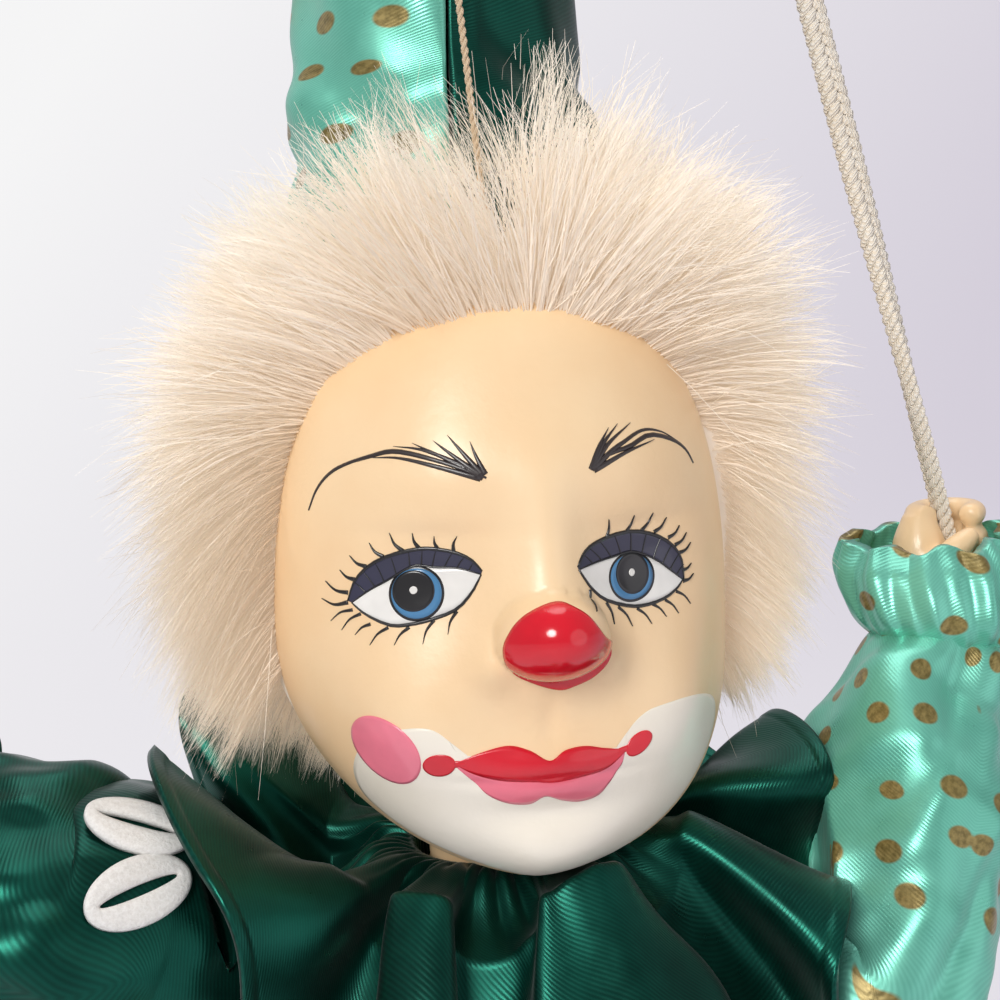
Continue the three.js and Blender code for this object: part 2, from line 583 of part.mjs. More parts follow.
Object.entries(hands).forEach(([hand, { side, gripZ }]) => {
  const points = ropePoints(side, gripZ);
  ropeGrowns[hand] = rope(points, ROPE_WIDTH, ROPE_THICK, 20, ROPE_HOLE_GAP);
  const knotHere = (grow) => eggAt(
    splitPoint(side), SPLIT_KNOT_RADIUS + grow, SPLIT_KNOT_RADIUS + grow, SPLIT_KNOT_LENGTH / 2 + grow,
  );
  splitKnots[hand] = knotHere(SEAT_GAP);
  const other = side > 0
    ? blockAt(vec(-20, -20, 300), vec(SEAT_GAP / 2, 40, 560))
    : blockAt(vec(-SEAT_GAP / 2, -20, 300), vec(20, 40, 560));
  const line = rope(points, ROPE_WIDTH, ROPE_THICK, 20);
  add(`rope_${hand}`, mainBody(cutBy(line, topKnotGrown, splitKnots[hand], other)), ROPE_CREAM, 0.9);
  add(`split_knot_${hand}`, knotHere(0), ROPE_CREAM, 0.9);
  Object.entries(holeYs).forEach(([end, y]) => {
    const foot = vec(side * holeX, y, -SEAT_THICK - END_KNOT_RADIUS);
    const path = [splitPoint(side), vec(side * (SPLIT_X + (holeX - SPLIT_X) * 0.55), GRIP_Y + (y - GRIP_Y) * 0.55,
      SPLIT_Z * 0.45), vec(side * holeX, y, 3), vec(side * holeX, y, -SEAT_THICK), foot];
    const endKnot = (grow) => eggAt(foot.clone().setZ(-SEAT_THICK - SEAT_GAP - END_KNOT_RADIUS),
      END_KNOT_RADIUS + grow, END_KNOT_RADIUS + grow, END_KNOT_RADIUS + grow, 10, 8);
    const strand = rope(path, STRAND_WIDTH, STRAND_THICK, 12);
    const rearGap = end === 'rear'
      ? blockAt(vec(-120, -60, 60), vec(120, GRIP_Y + SEAT_GAP / 2, SPLIT_Z + 10))
      : blockAt(vec(-120, GRIP_Y - SEAT_GAP / 2, 60), vec(120, 90, SPLIT_Z + 10));
    add(`strand_${hand}_${end}`, mainBody(cutBy(strand, splitKnots[hand], endKnot(SEAT_GAP), rearGap)),
      ROPE_CREAM, 0.9);
    add(`seat_knot_${hand}_${end}`, endKnot(0), ROPE_CREAM, 0.9);
  });
});

// Seat board: a softly rounded plank with four rope holes
const plank = new THREE.Shape();
const [halfL, halfD] = [SEAT_LENGTH / 2, SEAT_DEPTH / 2];
plank.moveTo(-halfL + SEAT_CORNER, -halfD);
plank.lineTo(halfL - SEAT_CORNER, -halfD);
plank.absarc(halfL - SEAT_CORNER, -halfD + SEAT_CORNER, SEAT_CORNER, -Math.PI / 2, 0);
plank.absarc(halfL - SEAT_CORNER, halfD - SEAT_CORNER, SEAT_CORNER, 0, Math.PI / 2);
plank.absarc(-halfL + SEAT_CORNER, halfD - SEAT_CORNER, SEAT_CORNER, Math.PI / 2, Math.PI);
plank.absarc(-halfL + SEAT_CORNER, -halfD + SEAT_CORNER, SEAT_CORNER, Math.PI, 1.5 * Math.PI);
[[1, 1], [1, -1], [-1, 1], [-1, -1]].forEach(([sx, sy]) => {
  const hole = new THREE.Path();
  hole.absarc(sx * holeX, sy * (halfD - SEAT_HOLE_INSET_Y), STRAND_WIDTH / 2 + ROPE_HOLE_GAP, 0, 2 * Math.PI);
  plank.holes.push(hole);
});
const board = new THREE.ExtrudeGeometry(plank, { depth: SEAT_THICK, bevelEnabled: false, curveSegments: 5 });
board.translate(0, SEAT_CENTRE_Y, -SEAT_THICK);
add('seat_board', solidOf(board), PINE, 0.6);

// Legs: trouser lofts with a ball at hip and knee, in the pose of a seated doll
const legSide = (side) => ({ hip: side > 0 ? at(HIP) : mirrored(HIP), knee: side > 0 ? at(KNEE) : mirrored(KNEE) });
function thighTube(side, grow, sides) {
  const { hip, knee } = legSide(side);
  const between = (t) => hip.clone().lerp(knee, t);
  return loft([
    { p: between(0), r: HIP_BALL_RADIUS - 1 },
    { p: between(0.3), r: HIP_BALL_RADIUS - 0.6 },
    { p: between(0.6), r: HIP_BALL_RADIUS - 1.4 },
    { p: between(0.86), r: KNEE_BALL_RADIUS - 0.4 },
    { p: between(1), r: KNEE_BALL_RADIUS - 1.6 },
  ], sides, X_AXIS, grow);
}
function trouserThigh(side, grow) {
  const { hip } = legSide(side);
  const seatFlat = blockAt(vec(-80, -120, -40), vec(80, 80, SEAT_GAP));
  return cutBy(joined(thighTube(side, grow, 14), ballAt(hip, HIP_BALL_RADIUS + grow, 14, 8)), seatFlat);
}
// The top of the shin, which sweeps under the knee as the leg swings back
function shinTop(side) {
  const { knee } = legSide(side);
  const low = knee.clone().add(vec(0, 0, -40));
  const radius = TROUSER_SHIN_RADIUS + JOINT_GAP;
  return loft([{ p: knee, r: KNEE_BALL_RADIUS + JOINT_GAP }, { p: low, r: radius }], 12);
}
function trouserShin(side, grow) {
  const { knee } = legSide(side);
  const hemZ = knee.z - SHIN_LENGTH + TROUSER_HEM_ABOVE_SOLE;
  const down = (t) => vec(knee.x, knee.y, knee.z + (hemZ - knee.z) * t);
  const tube = loft([
    { p: down(0), r: KNEE_BALL_RADIUS - 1.2 },
    { p: down(0.3), r: TROUSER_SHIN_RADIUS - 0.8 },
    { p: down(0.65), r: TROUSER_SHIN_RADIUS, flutes: 6, flute: 0.04 },
    { p: down(0.88), r: TROUSER_SHIN_RADIUS - 1.5, flutes: 6, flute: 0.06 },
    { p: down(1), r: ANKLE_RADIUS + 2.8 },
  ], 16, X_AXIS, grow);
  return joined(tube, ballAt(knee, KNEE_BALL_RADIUS + grow, 14, 8));
}
// Porcelain lower leg with its moulded shoe
function porcelainLeg(side, grow) {
  const { knee } = legSide(side);
  const soleZ = knee.z - SHIN_LENGTH;
  const up = (h) => vec(knee.x, knee.y, soleZ + h);
  const calf = loft([
    { p: up(SHOE_HEIGHT * 0.4), r: ANKLE_RADIUS },
    { p: up(SHOE_HEIGHT + 5), r: ANKLE_RADIUS },
    { p: up(SHIN_LENGTH * 0.45), r: SHIN_TOP_RADIUS },
    { p: up(SHIN_LENGTH - KNEE_BALL_RADIUS - 12), r: SHIN_TOP_RADIUS * 0.9 },
    { p: up(SHIN_LENGTH - KNEE_BALL_RADIUS - 7), r: SHIN_TOP_RADIUS * 0.78 },
    { p: up(SHIN_LENGTH - KNEE_BALL_RADIUS - 3), r: SHIN_TOP_RADIUS * 0.96 },
  ], 12, X_AXIS, grow);
  if (grow > 0) return calf;
  const along = (t, h) => vec(knee.x, knee.y + SHOE_LENGTH * (0.3 - t), soleZ + h);
  const shoe = loft([
    { p: along(0, SHOE_HEIGHT * 0.48), r: SHOE_HALF_WIDTH * 0.45, r2: SHOE_HEIGHT * 0.3 },
    { p: along(0.08, SHOE_HEIGHT * 0.5), r: SHOE_HALF_WIDTH * 0.72, r2: SHOE_HEIGHT * 0.5 },
    { p: along(0.35, SHOE_HEIGHT * 0.47), r: SHOE_HALF_WIDTH * 0.76, r2: SHOE_HEIGHT * 0.47 },
    { p: along(0.6, SHOE_HEIGHT * 0.42), r: SHOE_HALF_WIDTH * 0.86, r2: SHOE_HEIGHT * 0.42 },
    { p: along(0.82, SHOE_HEIGHT * 0.44), r: SHOE_HALF_WIDTH, r2: SHOE_HEIGHT * 0.44 },
    { p: along(0.95, SHOE_HEIGHT * 0.42), r: SHOE_HALF_WIDTH * 0.8, r2: SHOE_HEIGHT * 0.38 },
    { p: along(1, SHOE_HEIGHT * 0.4), r: SHOE_HALF_WIDTH * 0.4, r2: SHOE_HEIGHT * 0.2 },
  ], 14);
  const soleCut = blockAt(vec(-80, -160, soleZ - 20), vec(80, 80, soleZ));
  return cutBy(joined(calf, shoe), soleCut);
}
const thighSweeps = [];
Object.entries({ left: 1, right: -1 }).forEach(([hand, side]) => {
  const { hip, knee } = legSide(side);
  thighSweeps.push(ballAt(hip, HIP_BALL_RADIUS + JOINT_GAP, 14, 8));
  thighSweeps.push(hullOf(HIP_LIFT.map((angle) => turned(thighTube(side, JOINT_GAP, 14), X_AXIS, -angle, hip))));
  const kneeBall = ballAt(knee, KNEE_BALL_RADIUS + JOINT_GAP, 14, 8);
  const shinBack = hullOf([0, KNEE_SWING[0]].map((angle) => turned(shinTop(side), X_AXIS, -angle, knee)));
  add(`thigh_${hand}`, mainBody(cutBy(trouserThigh(side, 0), kneeBall, shinBack)), side > 0 ? EMERALD : MINT, 0.4);
  const legGrown = porcelainLeg(side, COVER_GAP);
  add(`trouser_shin_${hand}`, mainBody(cutBy(trouserShin(side, 0), legGrown)), side > 0 ? EMERALD : MINT, 0.4);
  add(`leg_${hand}`, porcelainLeg(side, 0), PORCELAIN, 0.4);
  const hemZ = knee.z - SHIN_LENGTH + TROUSER_HEM_ABOVE_SOLE;
  const frill = loft([
    { p: vec(knee.x, knee.y, hemZ - SEAT_GAP), r: ANKLE_RADIUS + 2.4 },
    { p: vec(knee.x, knee.y, hemZ - 2.5), r: ANKLE_FRILL_RADIUS * 0.8, flutes: 8, flute: 0.06 },
    { p: vec(knee.x, knee.y, hemZ - 5.5), r: ANKLE_FRILL_RADIUS, flutes: 8, flute: 0.09 },
    { p: vec(knee.x, knee.y, hemZ - 6.5), r: ANKLE_FRILL_RADIUS * 0.94, flutes: 8, flute: 0.09 },
  ], 32);
  add(`ankle_frill_${hand}`, mainBody(cutBy(frill, legGrown)), side > 0 ? MINT : EMERALD, 0.45);
});

// Stuffed body and the two halves of the suit
function bodyLoft(loose, top) {
  const [w, d] = [TORSO_HALF_WIDTH + loose, TORSO_HALF_DEPTH + loose];
  const flute = loose > 0 ? 0.018 : 0;
  const cloth = loose > 1;
  const chest = PLATE_HALF_WIDTH + (cloth ? loose * 0.8 : loose + 1);
  const chestDeep = PLATE_HALF_DEPTH + (cloth ? loose * 0.9 : loose + 1);
  const neckHalf = cloth ? COLLAR_INNER_RADIUS + 3 : chest;
  const shape = (k) => (cloth ? k : 1);
  return loft([
    { p: vec(0, TORSO_Y, SEAT_GAP), r: w * 0.8, r2: d * 0.8 },
    { p: vec(0, TORSO_Y, 6), r: w * 0.98, r2: d * 0.98 },
    { p: vec(0, TORSO_Y, 24), r: w, r2: d, flutes: 8, flute },
    { p: vec(0, TORSO_Y, 42), r: w * 0.88, r2: d * 0.88, flutes: 8, flute },
    { p: vec(0, TORSO_Y, 58), r: (w * 0.88 + chest) / 2, r2: (d * 0.88 + chestDeep) / 2 },
    { p: vec(0, TORSO_Y, top - 16), r: chest, r2: chestDeep },
    { p: vec(0, TORSO_Y, top - 7), r: chest * shape(0.86), r2: chestDeep * shape(0.94) },
    { p: vec(0, cloth ? NECK_Y : TORSO_Y, top), r: neckHalf, r2: cloth ? neckHalf * 0.95 : chestDeep },
  ], 24, X_AXIS, 0, true);
}
const torso = bodyLoft(-1, TORSO_TOP_Z);
const torsoGrown = bodyLoft(-1 + 1.5 * COVER_GAP, TORSO_TOP_Z + COVER_GAP);
add('stuffed_body', mainBody(cutBy(torso, ...thighSweeps)), MUSLIN, 0.95);
const suitFilled = bodyLoft(SUIT_LOOSE, SUIT_TOP_Z);
const suitGrown = bodyLoft(SUIT_LOOSE + SEAT_GAP, SUIT_TOP_Z + SEAT_GAP);
const suitWhole = cutBy(suitFilled, torsoGrown, plateGrown, ...thighSweeps);
const half = (side) => (side > 0
  ? blockAt(vec(SEAT_GAP / 2, -80, -5), vec(80, 80, 140))
  : blockAt(vec(-80, -80, -5), vec(-SEAT_GAP / 2, 80, 140)));
add('suit_left_half', mainBody(suitWhole.intersect(half(1))), EMERALD, 0.4);
add('suit_right_half', mainBody(suitWhole.intersect(half(-1))), MINT, 0.4);

// Collar: a deep gathered ruffle that stands up round the jaw and drapes at the front
const collarMean = (s, front) => {
  const rim = Math.min(1, Math.max(0, (s - 0.42) / 0.58));
  return COLLAR_Z + 2.5 * s + COLLAR_RISE * (1 - 1.05 * front ** 1.5) * rim ** 0.9;
};
function collarSolid(thick) {
  const columns = 50;
  const rows = 4;
  const face = (lift) => {
    const rings = [];
    for (let i = 0; i <= rows; i += 1) {
      const s = i / rows;
      const radius = COLLAR_INNER_RADIUS + (COLLAR_RADIUS - COLLAR_INNER_RADIUS) * s;
      const ring = [];
      for (let j = 0; j < columns; j += 1) {
        const turn = (2 * Math.PI * j) / columns;
        const front = Math.max(0, -Math.sin(turn));
        const wave = COLLAR_WAVE * s ** 2 * Math.sin(COLLAR_FOLDS * turn + 0.6 * Math.sin(2 * turn));
        const z = collarMean(s, front) + wave + lift;
        ring.push(vec(radius * Math.cos(turn), NECK_Y + radius * Math.sin(turn), z));
      }
      rings.push(ring);
    }
    return rings;
  };
  const lower = face(-thick / 2);
  const upper = face(thick / 2);
  const loop = [...lower, ...upper.reverse()];
  const points = [];
  const faces = [];
  loop.forEach((ringHere) => ringHere.forEach((p) => points.push(p.x, p.y, p.z)));
  for (let i = 0; i < loop.length; i += 1) {
    const next = (i + 1) % loop.length;
    for (let j = 0; j < columns; j += 1) {
      const k = (j + 1) % columns;
      const [p, q, r, t] = [i * columns + j, i * columns + k, next * columns + k, next * columns + j];
      faces.push(p, q, r, p, r, t);
    }
  }
  const geometry = new THREE.BufferGeometry();
  geometry.setAttribute('position', new THREE.Float32BufferAttribute(points, 3));
  geometry.setIndex(faces);
  return solidOf(geometry);
}
add('collar', collarSolid(COLLAR_THICK), EMERALD, 0.4);

// Room under the collar that the sleeves keep clear of
const underCollar = (() => {
  const profile = [];
  for (let i = 0; i <= 5; i += 1) {
    const s = i / 5;
    const radius = COLLAR_INNER_RADIUS + (COLLAR_RADIUS - COLLAR_INNER_RADIUS) * s;
    const z = collarMean(s, 0.72) - COLLAR_WAVE * s ** 2 - COLLAR_THICK / 2 - 2 * SEAT_GAP;
    profile.push(new THREE.Vector2(radius, z));
  }
  profile.push(new THREE.Vector2(COLLAR_RADIUS + 2, profile[5].y));
  profile.push(new THREE.Vector2(COLLAR_RADIUS + 2, 170));
  profile.push(new THREE.Vector2(0, 170));
  profile.unshift(new THREE.Vector2(0, profile[0].y));
  profile.push(profile[0].clone());
  const bowl = new THREE.LatheGeometry(profile, 20);
  bowl.rotateX(Math.PI / 2);
  bowl.translate(0, NECK_Y, 0);
  return solidOf(bowl);
})();

// Arms: stuffed cloth arm, puffed sleeve, frilled cuff, and the porcelain fist round the rope
const sleeves = {};
Object.entries(hands).forEach(([hand, { side, gripZ }]) => {
  const left = side > 0;
  const shoulder = left ? at(SHOULDER) : mirrored(SHOULDER);
  const elbow = at(left ? ELBOW_LEFT : ELBOW_RIGHT);
  const wrist = at(left ? WRIST_LEFT : WRIST_RIGHT);
  const cuffRadius = left ? CUFF_RADIUS_LEFT : CUFF_RADIUS_RIGHT;
  const upper = (t) => shoulder.clone().lerp(elbow, t);
  const lower = (t) => elbow.clone().lerp(wrist, t);
  const armLine = [
    { p: upper(-0.1), r: ARM_RADIUS * 0.8 }, { p: upper(0.4), r: ARM_RADIUS }, { p: elbow, r: ARM_RADIUS },
    { p: lower(0.3), r: ARM_RADIUS * 0.9 }, { p: lower(0.5), r: ARM_RADIUS * 0.8 },
  ];
  const forward = Y_AXIS;
  const sleeveLine = [
    { p: upper(-0.15), r: SLEEVE_SHOULDER_RADIUS * 0.8 }, { p: upper(0.2), r: SLEEVE_SHOULDER_RADIUS },
    { p: upper(0.7), r: SLEEVE_ELBOW_RADIUS * 0.97 }, { p: elbow, r: SLEEVE_ELBOW_RADIUS },
    { p: lower(0.35), r: SLEEVE_ELBOW_RADIUS * 0.98 }, { p: lower(0.7), r: SLEEVE_ELBOW_RADIUS * 0.8 },
    { p: lower(0.9), r: SLEEVE_WRIST_RADIUS }, { p: lower(0.985), r: SLEEVE_WRIST_RADIUS * 0.8 },
  ];
  const grip = gripPoint(side, gripZ);
  const up = vec(0, 0, 1);
  const palmBase = grip.clone().add(vec(-side * 5, -4, -7));
  const foreLine = [
    { p: lower(0.54), r: FOREARM_RADIUS }, { p: lower(0.8), r: FOREARM_RADIUS * 0.92 },
    { p: wrist, r: FOREARM_RADIUS * 0.8 }, { p: palmBase, r: FOREARM_RADIUS * 0.85 },
    { p: grip.clone().add(vec(-side * 5, -2, 0)), r: FOREARM_RADIUS * 0.6 },
  ];
  const armGrown = chain(armLine, 8, forward, COVER_GAP);
  const foreGrown = chain(foreLine, 8, forward, COVER_GAP);
  const armFore = chain(foreLine, 8, forward, SEAT_GAP);
  add(`arm_${hand}`, mainBody(cutBy(chain(armLine, 8, forward), suitGrown, armFore)), MUSLIN, 0.95);
  const sleeve = mainBody(cutBy(chain(sleeveLine, 14, forward), armGrown, foreGrown, suitGrown, underCollar,
    ropeGrowns[hand], splitKnots[hand]));
  sleeves[hand] = sleeve;
  add(`sleeve_${hand}`, sleeve, left ? MINT : EMERALD, 0.4);
  const cuffBase = wrist.clone().addScaledVector(up, -SEAT_GAP);
  const cuffTo = (t) => cuffBase.clone().addScaledVector(up, CUFF_LENGTH * t).add(vec(side * 2 * t, 7 * t, 0));
  const cuffLine = [
    { p: cuffTo(0), r: SLEEVE_WRIST_RADIUS * 0.9 },
    { p: cuffTo(0.3), r: cuffRadius * 0.94, flutes: 5, flute: 0.04 },
    { p: cuffTo(0.7), r: cuffRadius, flutes: 5, flute: 0.06 },
    { p: cuffTo(1), r: cuffRadius * 0.9, flutes: 5, flute: 0.07 },
  ];
  const sleeveCap = chain(sleeveLine.slice(-4), 14, forward, SEAT_GAP);
  const fistRoom = eggAt(grip.clone().add(vec(-side * 2, -1.5, 0)), FIST_ROOM + 1, FIST_ROOM + 1.2, 17, 10, 8);
  const cuff = cutBy(loft(cuffLine, 20, forward), foreGrown, ropeGrowns[hand], sleeveCap, fistRoom);
  add(`cuff_${hand}`, mainBody(cuff), left ? MINT : EMERALD, 0.45);
  // Fist: four fingers curled round the rope from the palm, with the thumb across them
  const curl = ROPE_WIDTH / 2 + ROPE_HOLE_GAP + FINGER_RADIUS * 0.8;
  const digits = [];
  for (let k = 0; k < FINGER_COUNT; k += 1) {
    const z = gripZ + 1 + (k - (FINGER_COUNT - 1) / 2) * FINGER_PITCH;
    const round = [];
    for (let i = 0; i <= 4; i += 1) {
      const turn = THREE.MathUtils.degToRad(205 - 68 * i);
      const taper = 1 - 0.12 * (i / 4) ** 2;
      round.push({
        p: vec(grip.x + side * curl * Math.cos(turn), grip.y + curl * Math.sin(turn), z),
        r: FINGER_RADIUS * taper,
      });
    }
    digits.push(loft(round, 6, up));
    digits.push(ballAt(round[4].p, FINGER_RADIUS * 0.86, 6, 4));
  }
  const thumbLine = [
    { p: grip.clone().add(vec(-side * 5.5, -3, -7)), r: 2.6 },
    { p: grip.clone().add(vec(-side * 5.6, -6, -1)), r: 2.5 },
    { p: grip.clone().add(vec(-side * 2, -7.6, 3)), r: 2.2 },
    { p: grip.clone().add(vec(side * 1, -7.4, 5)), r: 1.5 },
  ];
  const palm = eggAt(grip.clone().add(vec(-side * 5.2, -0.5, -1)), 3.8, 5.2, 9, 10, 6);
  const fist = joined(chain(foreLine, 8, forward), palm, loft(thumbLine, 6), ...digits);
  add(`hand_${hand}`, mainBody(cutBy(fist, ropeGrowns[hand])), PORCELAIN, 0.35);
});

// White slotted ovals laid on the right sleeve near the collar
const sleeveMesh = new THREE.Mesh(geometryOf(sleeves.right));
sleeveMesh.updateMatrixWorld(true);
const OVALS = [
  { name: 'shoulder_oval_upper', from: vec(-56.5, -70, 166), way: vec(-0.1, 0.86, -0.5), spin: -14 },
  { name: 'shoulder_oval_lower', from: vec(-55.4, -70, 140.4), way: vec(-0.1, 0.95, -0.3), spin: 20 },
];
let ovalBefore = null;
OVALS.forEach(({ name, from, way, spin }) => {
  const ray = new THREE.Raycaster(from, way.clone().normalize());
  const hit = ray.intersectObject(sleeveMesh)[0];
  const outline = new THREE.Shape();
  outline.absellipse(0, 0, OVAL_HALF_LENGTH, OVAL_HALF_WIDTH, 0, 2 * Math.PI);
  const slot = new THREE.Path();
  slot.absellipse(0, 0, OVAL_SLOT_HALF_LENGTH, OVAL_SLOT_HALF_WIDTH, 0, 2 * Math.PI);
  outline.holes.push(slot);
  const depth = 4;
  const oval = new THREE.ExtrudeGeometry(outline, { depth, bevelEnabled: false, curveSegments: 8 });
  oval.translate(0, 0, OVAL_THICK + SEAT_GAP - depth);
  oval.rotateZ(THREE.MathUtils.degToRad(spin));
  const facing = new THREE.Quaternion().setFromUnitVectors(vec(0, 0, 1), way.clone().normalize().negate());
  oval.applyQuaternion(facing);
  oval.translate(hit.point.x, hit.point.y, hit.point.z);
  const off = way.clone().normalize().multiplyScalar(-SEAT_GAP);
  const under = joined(sleeves.right, sleeves.right.translate([off.x, off.y, off.z]));
  let piece = cutBy(solidOf(oval), under, sleeves.right);
  if (ovalBefore) piece = cutBy(piece, ovalBefore);
  piece = mainBody(piece);
  ovalBefore = joined(piece, piece.translate([0, 0, -SEAT_GAP]), piece.translate([0, -SEAT_GAP, 0]));
  add(name, piece, 0xf6f4f0, 0.8);
});

// The row's origin is where a hook holds the ring: its top inside
group.position.set(0, -RING_Y, -(RING_CENTRE_Z + RING_RADIUS - RING_BAR));
tilted.name = '';
const doll = new THREE.Group();
doll.add(group);

export default doll;
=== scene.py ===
import bmesh
import bpy
import numpy as np
from mathutils import Matrix
from mathutils.kdtree import KDTree


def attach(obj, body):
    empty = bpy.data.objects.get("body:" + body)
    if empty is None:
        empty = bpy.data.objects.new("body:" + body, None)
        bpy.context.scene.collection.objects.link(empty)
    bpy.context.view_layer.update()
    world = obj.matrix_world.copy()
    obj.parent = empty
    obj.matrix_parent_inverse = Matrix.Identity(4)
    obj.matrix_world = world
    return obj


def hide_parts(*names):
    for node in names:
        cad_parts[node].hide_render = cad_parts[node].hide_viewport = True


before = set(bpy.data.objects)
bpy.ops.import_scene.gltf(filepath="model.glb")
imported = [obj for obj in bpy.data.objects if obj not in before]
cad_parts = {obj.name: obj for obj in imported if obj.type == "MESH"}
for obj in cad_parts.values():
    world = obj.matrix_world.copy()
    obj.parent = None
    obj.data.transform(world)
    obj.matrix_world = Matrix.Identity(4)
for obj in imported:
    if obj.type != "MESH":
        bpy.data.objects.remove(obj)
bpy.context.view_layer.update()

# Sizes are in millimetres in the doll's own frame: z = 0 is the top of the seat board, the doll faces -Y
NECK_Y = 3.0
RING_Z, RING_RADIUS, RING_WIRE = 525.0, 13.0, 1.6
HOOK_Z = RING_Z + RING_RADIUS - RING_WIRE  # the row frame's origin
HEAD_Z = 155.0
HEAD_LEAN = np.radians(3.8)
NECK_BALL = np.array([0, NECK_Y, 110.0])
RNG = np.random.default_rng(11)


def to_row(points):
    """Millimetres in the doll's frame, as metres in the row frame."""
    return (np.asarray(points, float) - [0, NECK_Y, HOOK_Z]) / 1000


def lean(points):
    """Points of the upright head, turned about Y through the middle of the neck ball."""
    q = np.asarray(points, float) - NECK_BALL
    x = q[..., 0] * np.cos(HEAD_LEAN) + q[..., 2] * np.sin(HEAD_LEAN)
    z = -q[..., 0] * np.sin(HEAD_LEAN) + q[..., 2] * np.cos(HEAD_LEAN)
    return np.stack([x, q[..., 1], z], -1) + NECK_BALL


def unit(v):
    """Vectors of length one."""
    return v / np.maximum(np.linalg.norm(v, axis=-1, keepdims=True), 1e-12)


# Camera: to the doll's right and a little above its eyes, close in, with the swing hanging askew
VIEW_TURN = np.radians(11)
VIEW_RISE = np.radians(8)
VIEW_ROLL = np.radians(5.6)
VIEW_DISTANCE = 198.0
VIEW_LIFT = 12.6
VIEW_SHIFT = 1.8
FOCAL_SHARE = 1.374  # focal length over the picture's width


def place_camera():
    """The camera's axes are the view's right and up, both turned by the roll about the line of sight."""
    right = np.array([np.cos(VIEW_TURN), -np.sin(VIEW_TURN), 0])
    ahead = np.array([
        np.sin(VIEW_TURN) * np.cos(VIEW_RISE), np.cos(VIEW_TURN) * np.cos(VIEW_RISE), -np.sin(VIEW_RISE),
    ])
    up = np.array([
        np.sin(VIEW_TURN) * np.sin(VIEW_RISE), np.cos(VIEW_TURN) * np.sin(VIEW_RISE), np.cos(VIEW_RISE),
    ])
    eye = lean([0, 0, HEAD_Z]) - VIEW_DISTANCE * ahead + VIEW_LIFT * up + VIEW_SHIFT * right
    c, s = np.cos(VIEW_ROLL), np.sin(VIEW_ROLL)
    columns = np.stack([right * c - up * s, right * s + up * c, -ahead], 1)
    data = bpy.data.cameras.new("camera")
    data.sensor_width = 36
    data.lens = 36 * FOCAL_SHARE
    data.clip_start = 0.01
    camera = bpy.data.objects.new("camera", data)
    camera.matrix_world = Matrix.LocRotScale(to_row(eye), Matrix(columns.tolist()), None)
    bpy.context.collection.objects.link(camera)
    bpy.context.scene.camera = camera


place_camera()


# Meshes

def circle(samples):
    """Angles of a full turn, evenly spaced and without the last one."""
    return np.linspace(0, 2 * np.pi, samples, endpoint=False)


def make_mesh(name, points, faces, uv=None, tone=None):
    """A smooth mesh of millimetre points and quads or triangles; uv and tone are given per point."""
    mesh = bpy.data.meshes.new(name)
    faces = [np.asarray(f, np.int32) for f in faces if len(f)]
    points = to_row(np.asarray(points).reshape(-1, 3))
    mesh.vertices.add(len(points))
    mesh.vertices.foreach_set("co", points.astype(np.float32).ravel())
    loops = np.concatenate([f.ravel() for f in faces])
    counts = np.concatenate([np.full(len(f), f.shape[1], np.int32) for f in faces])
    starts = np.concatenate([[0], np.cumsum(counts)[:-1]]).astype(np.int32)
    mesh.loops.add(len(loops))
    mesh.loops.foreach_set("vertex_index", loops)
    mesh.polygons.add(len(counts))
    mesh.polygons.foreach_set("loop_start", starts)
    mesh.polygons.foreach_set("loop_total", counts)
    mesh.polygons.foreach_set("use_smooth", np.full(len(counts), True))
    if uv is not None:
        layer = mesh.uv_layers.new(name="UVMap")
        layer.data.foreach_set("uv", np.asarray(uv, np.float32).reshape(-1, 2)[loops].ravel())
    if tone is not None:
        layer = mesh.attributes.new("tone", "FLOAT", "POINT")
        layer.data.foreach_set("value", np.asarray(tone, np.float32).ravel())
    mesh.update(calc_edges=True)
    mesh.validate()
    obj = bpy.data.objects.new(name, mesh)
    bpy.context.collection.objects.link(obj)
    return obj


def grid_faces(rows, columns, wrap_rows=False, wrap_columns=True, start=0):
    """Quads of a grid of points, joined round its columns and, if asked, its rows."""
    i = np.arange(rows if wrap_rows else rows - 1)
    j = np.arange(columns if wrap_columns else columns - 1)
    i, j = np.meshgrid(i, j, indexing="ij")
    k, m = (i + 1) % rows, (j + 1) % columns
    quads = np.stack([i * columns + j, i * columns + m, k * columns + m, k * columns + j], -1)
    return quads.reshape(-1, 4) + start


def capped(grid, uv=None):
    """Points and faces of a tube of rings, each end closed by a fan about its ring's middle."""
    rows, columns = grid.shape[:2]
    points = np.concatenate([grid.reshape(-1, 3), grid[:1].mean(1), grid[-1:].mean(1)])
    j = np.arange(columns)
    m = (j + 1) % columns
    first = np.stack([np.full(columns, rows * columns), m, j], -1)
    base = (rows - 1) * columns
    last = np.stack([np.full(columns, rows * columns + 1), base + j, base + m], -1)
    if uv is not None:
        uv = np.concatenate([uv.reshape(-1, 2), uv[:1].mean(1), uv[-1:].mean(1)])
    return points, [grid_faces(rows, columns), first, last], uv


def joined(parts):
    """Points, faces and cloth places of several capped tubes, each in one list."""
    starts = np.cumsum([0] + [len(points) for points, _, _ in parts])
    points = np.concatenate([points for points, _, _ in parts])
    faces = [quads + start for (_, groups, _), start in zip(parts, starts) for quads in groups]
    uv = None if parts[0][2] is None else np.concatenate([uv for _, _, uv in parts])
    return points, faces, uv


def ribbons(lines, side, half):
    """Flat strips along lines: points at half a width to each side, and the quads between them."""
    count, points_each = lines.shape[:2]
    points = np.stack([lines - side * half, lines + side * half], 2)
    base = np.arange(count)[:, None] * points_each * 2
    i = np.arange(points_each - 1)[None] * 2
    return points, np.stack([base + i, base + i + 1, base + i + 3, base + i + 2], -1).reshape(-1, 4)


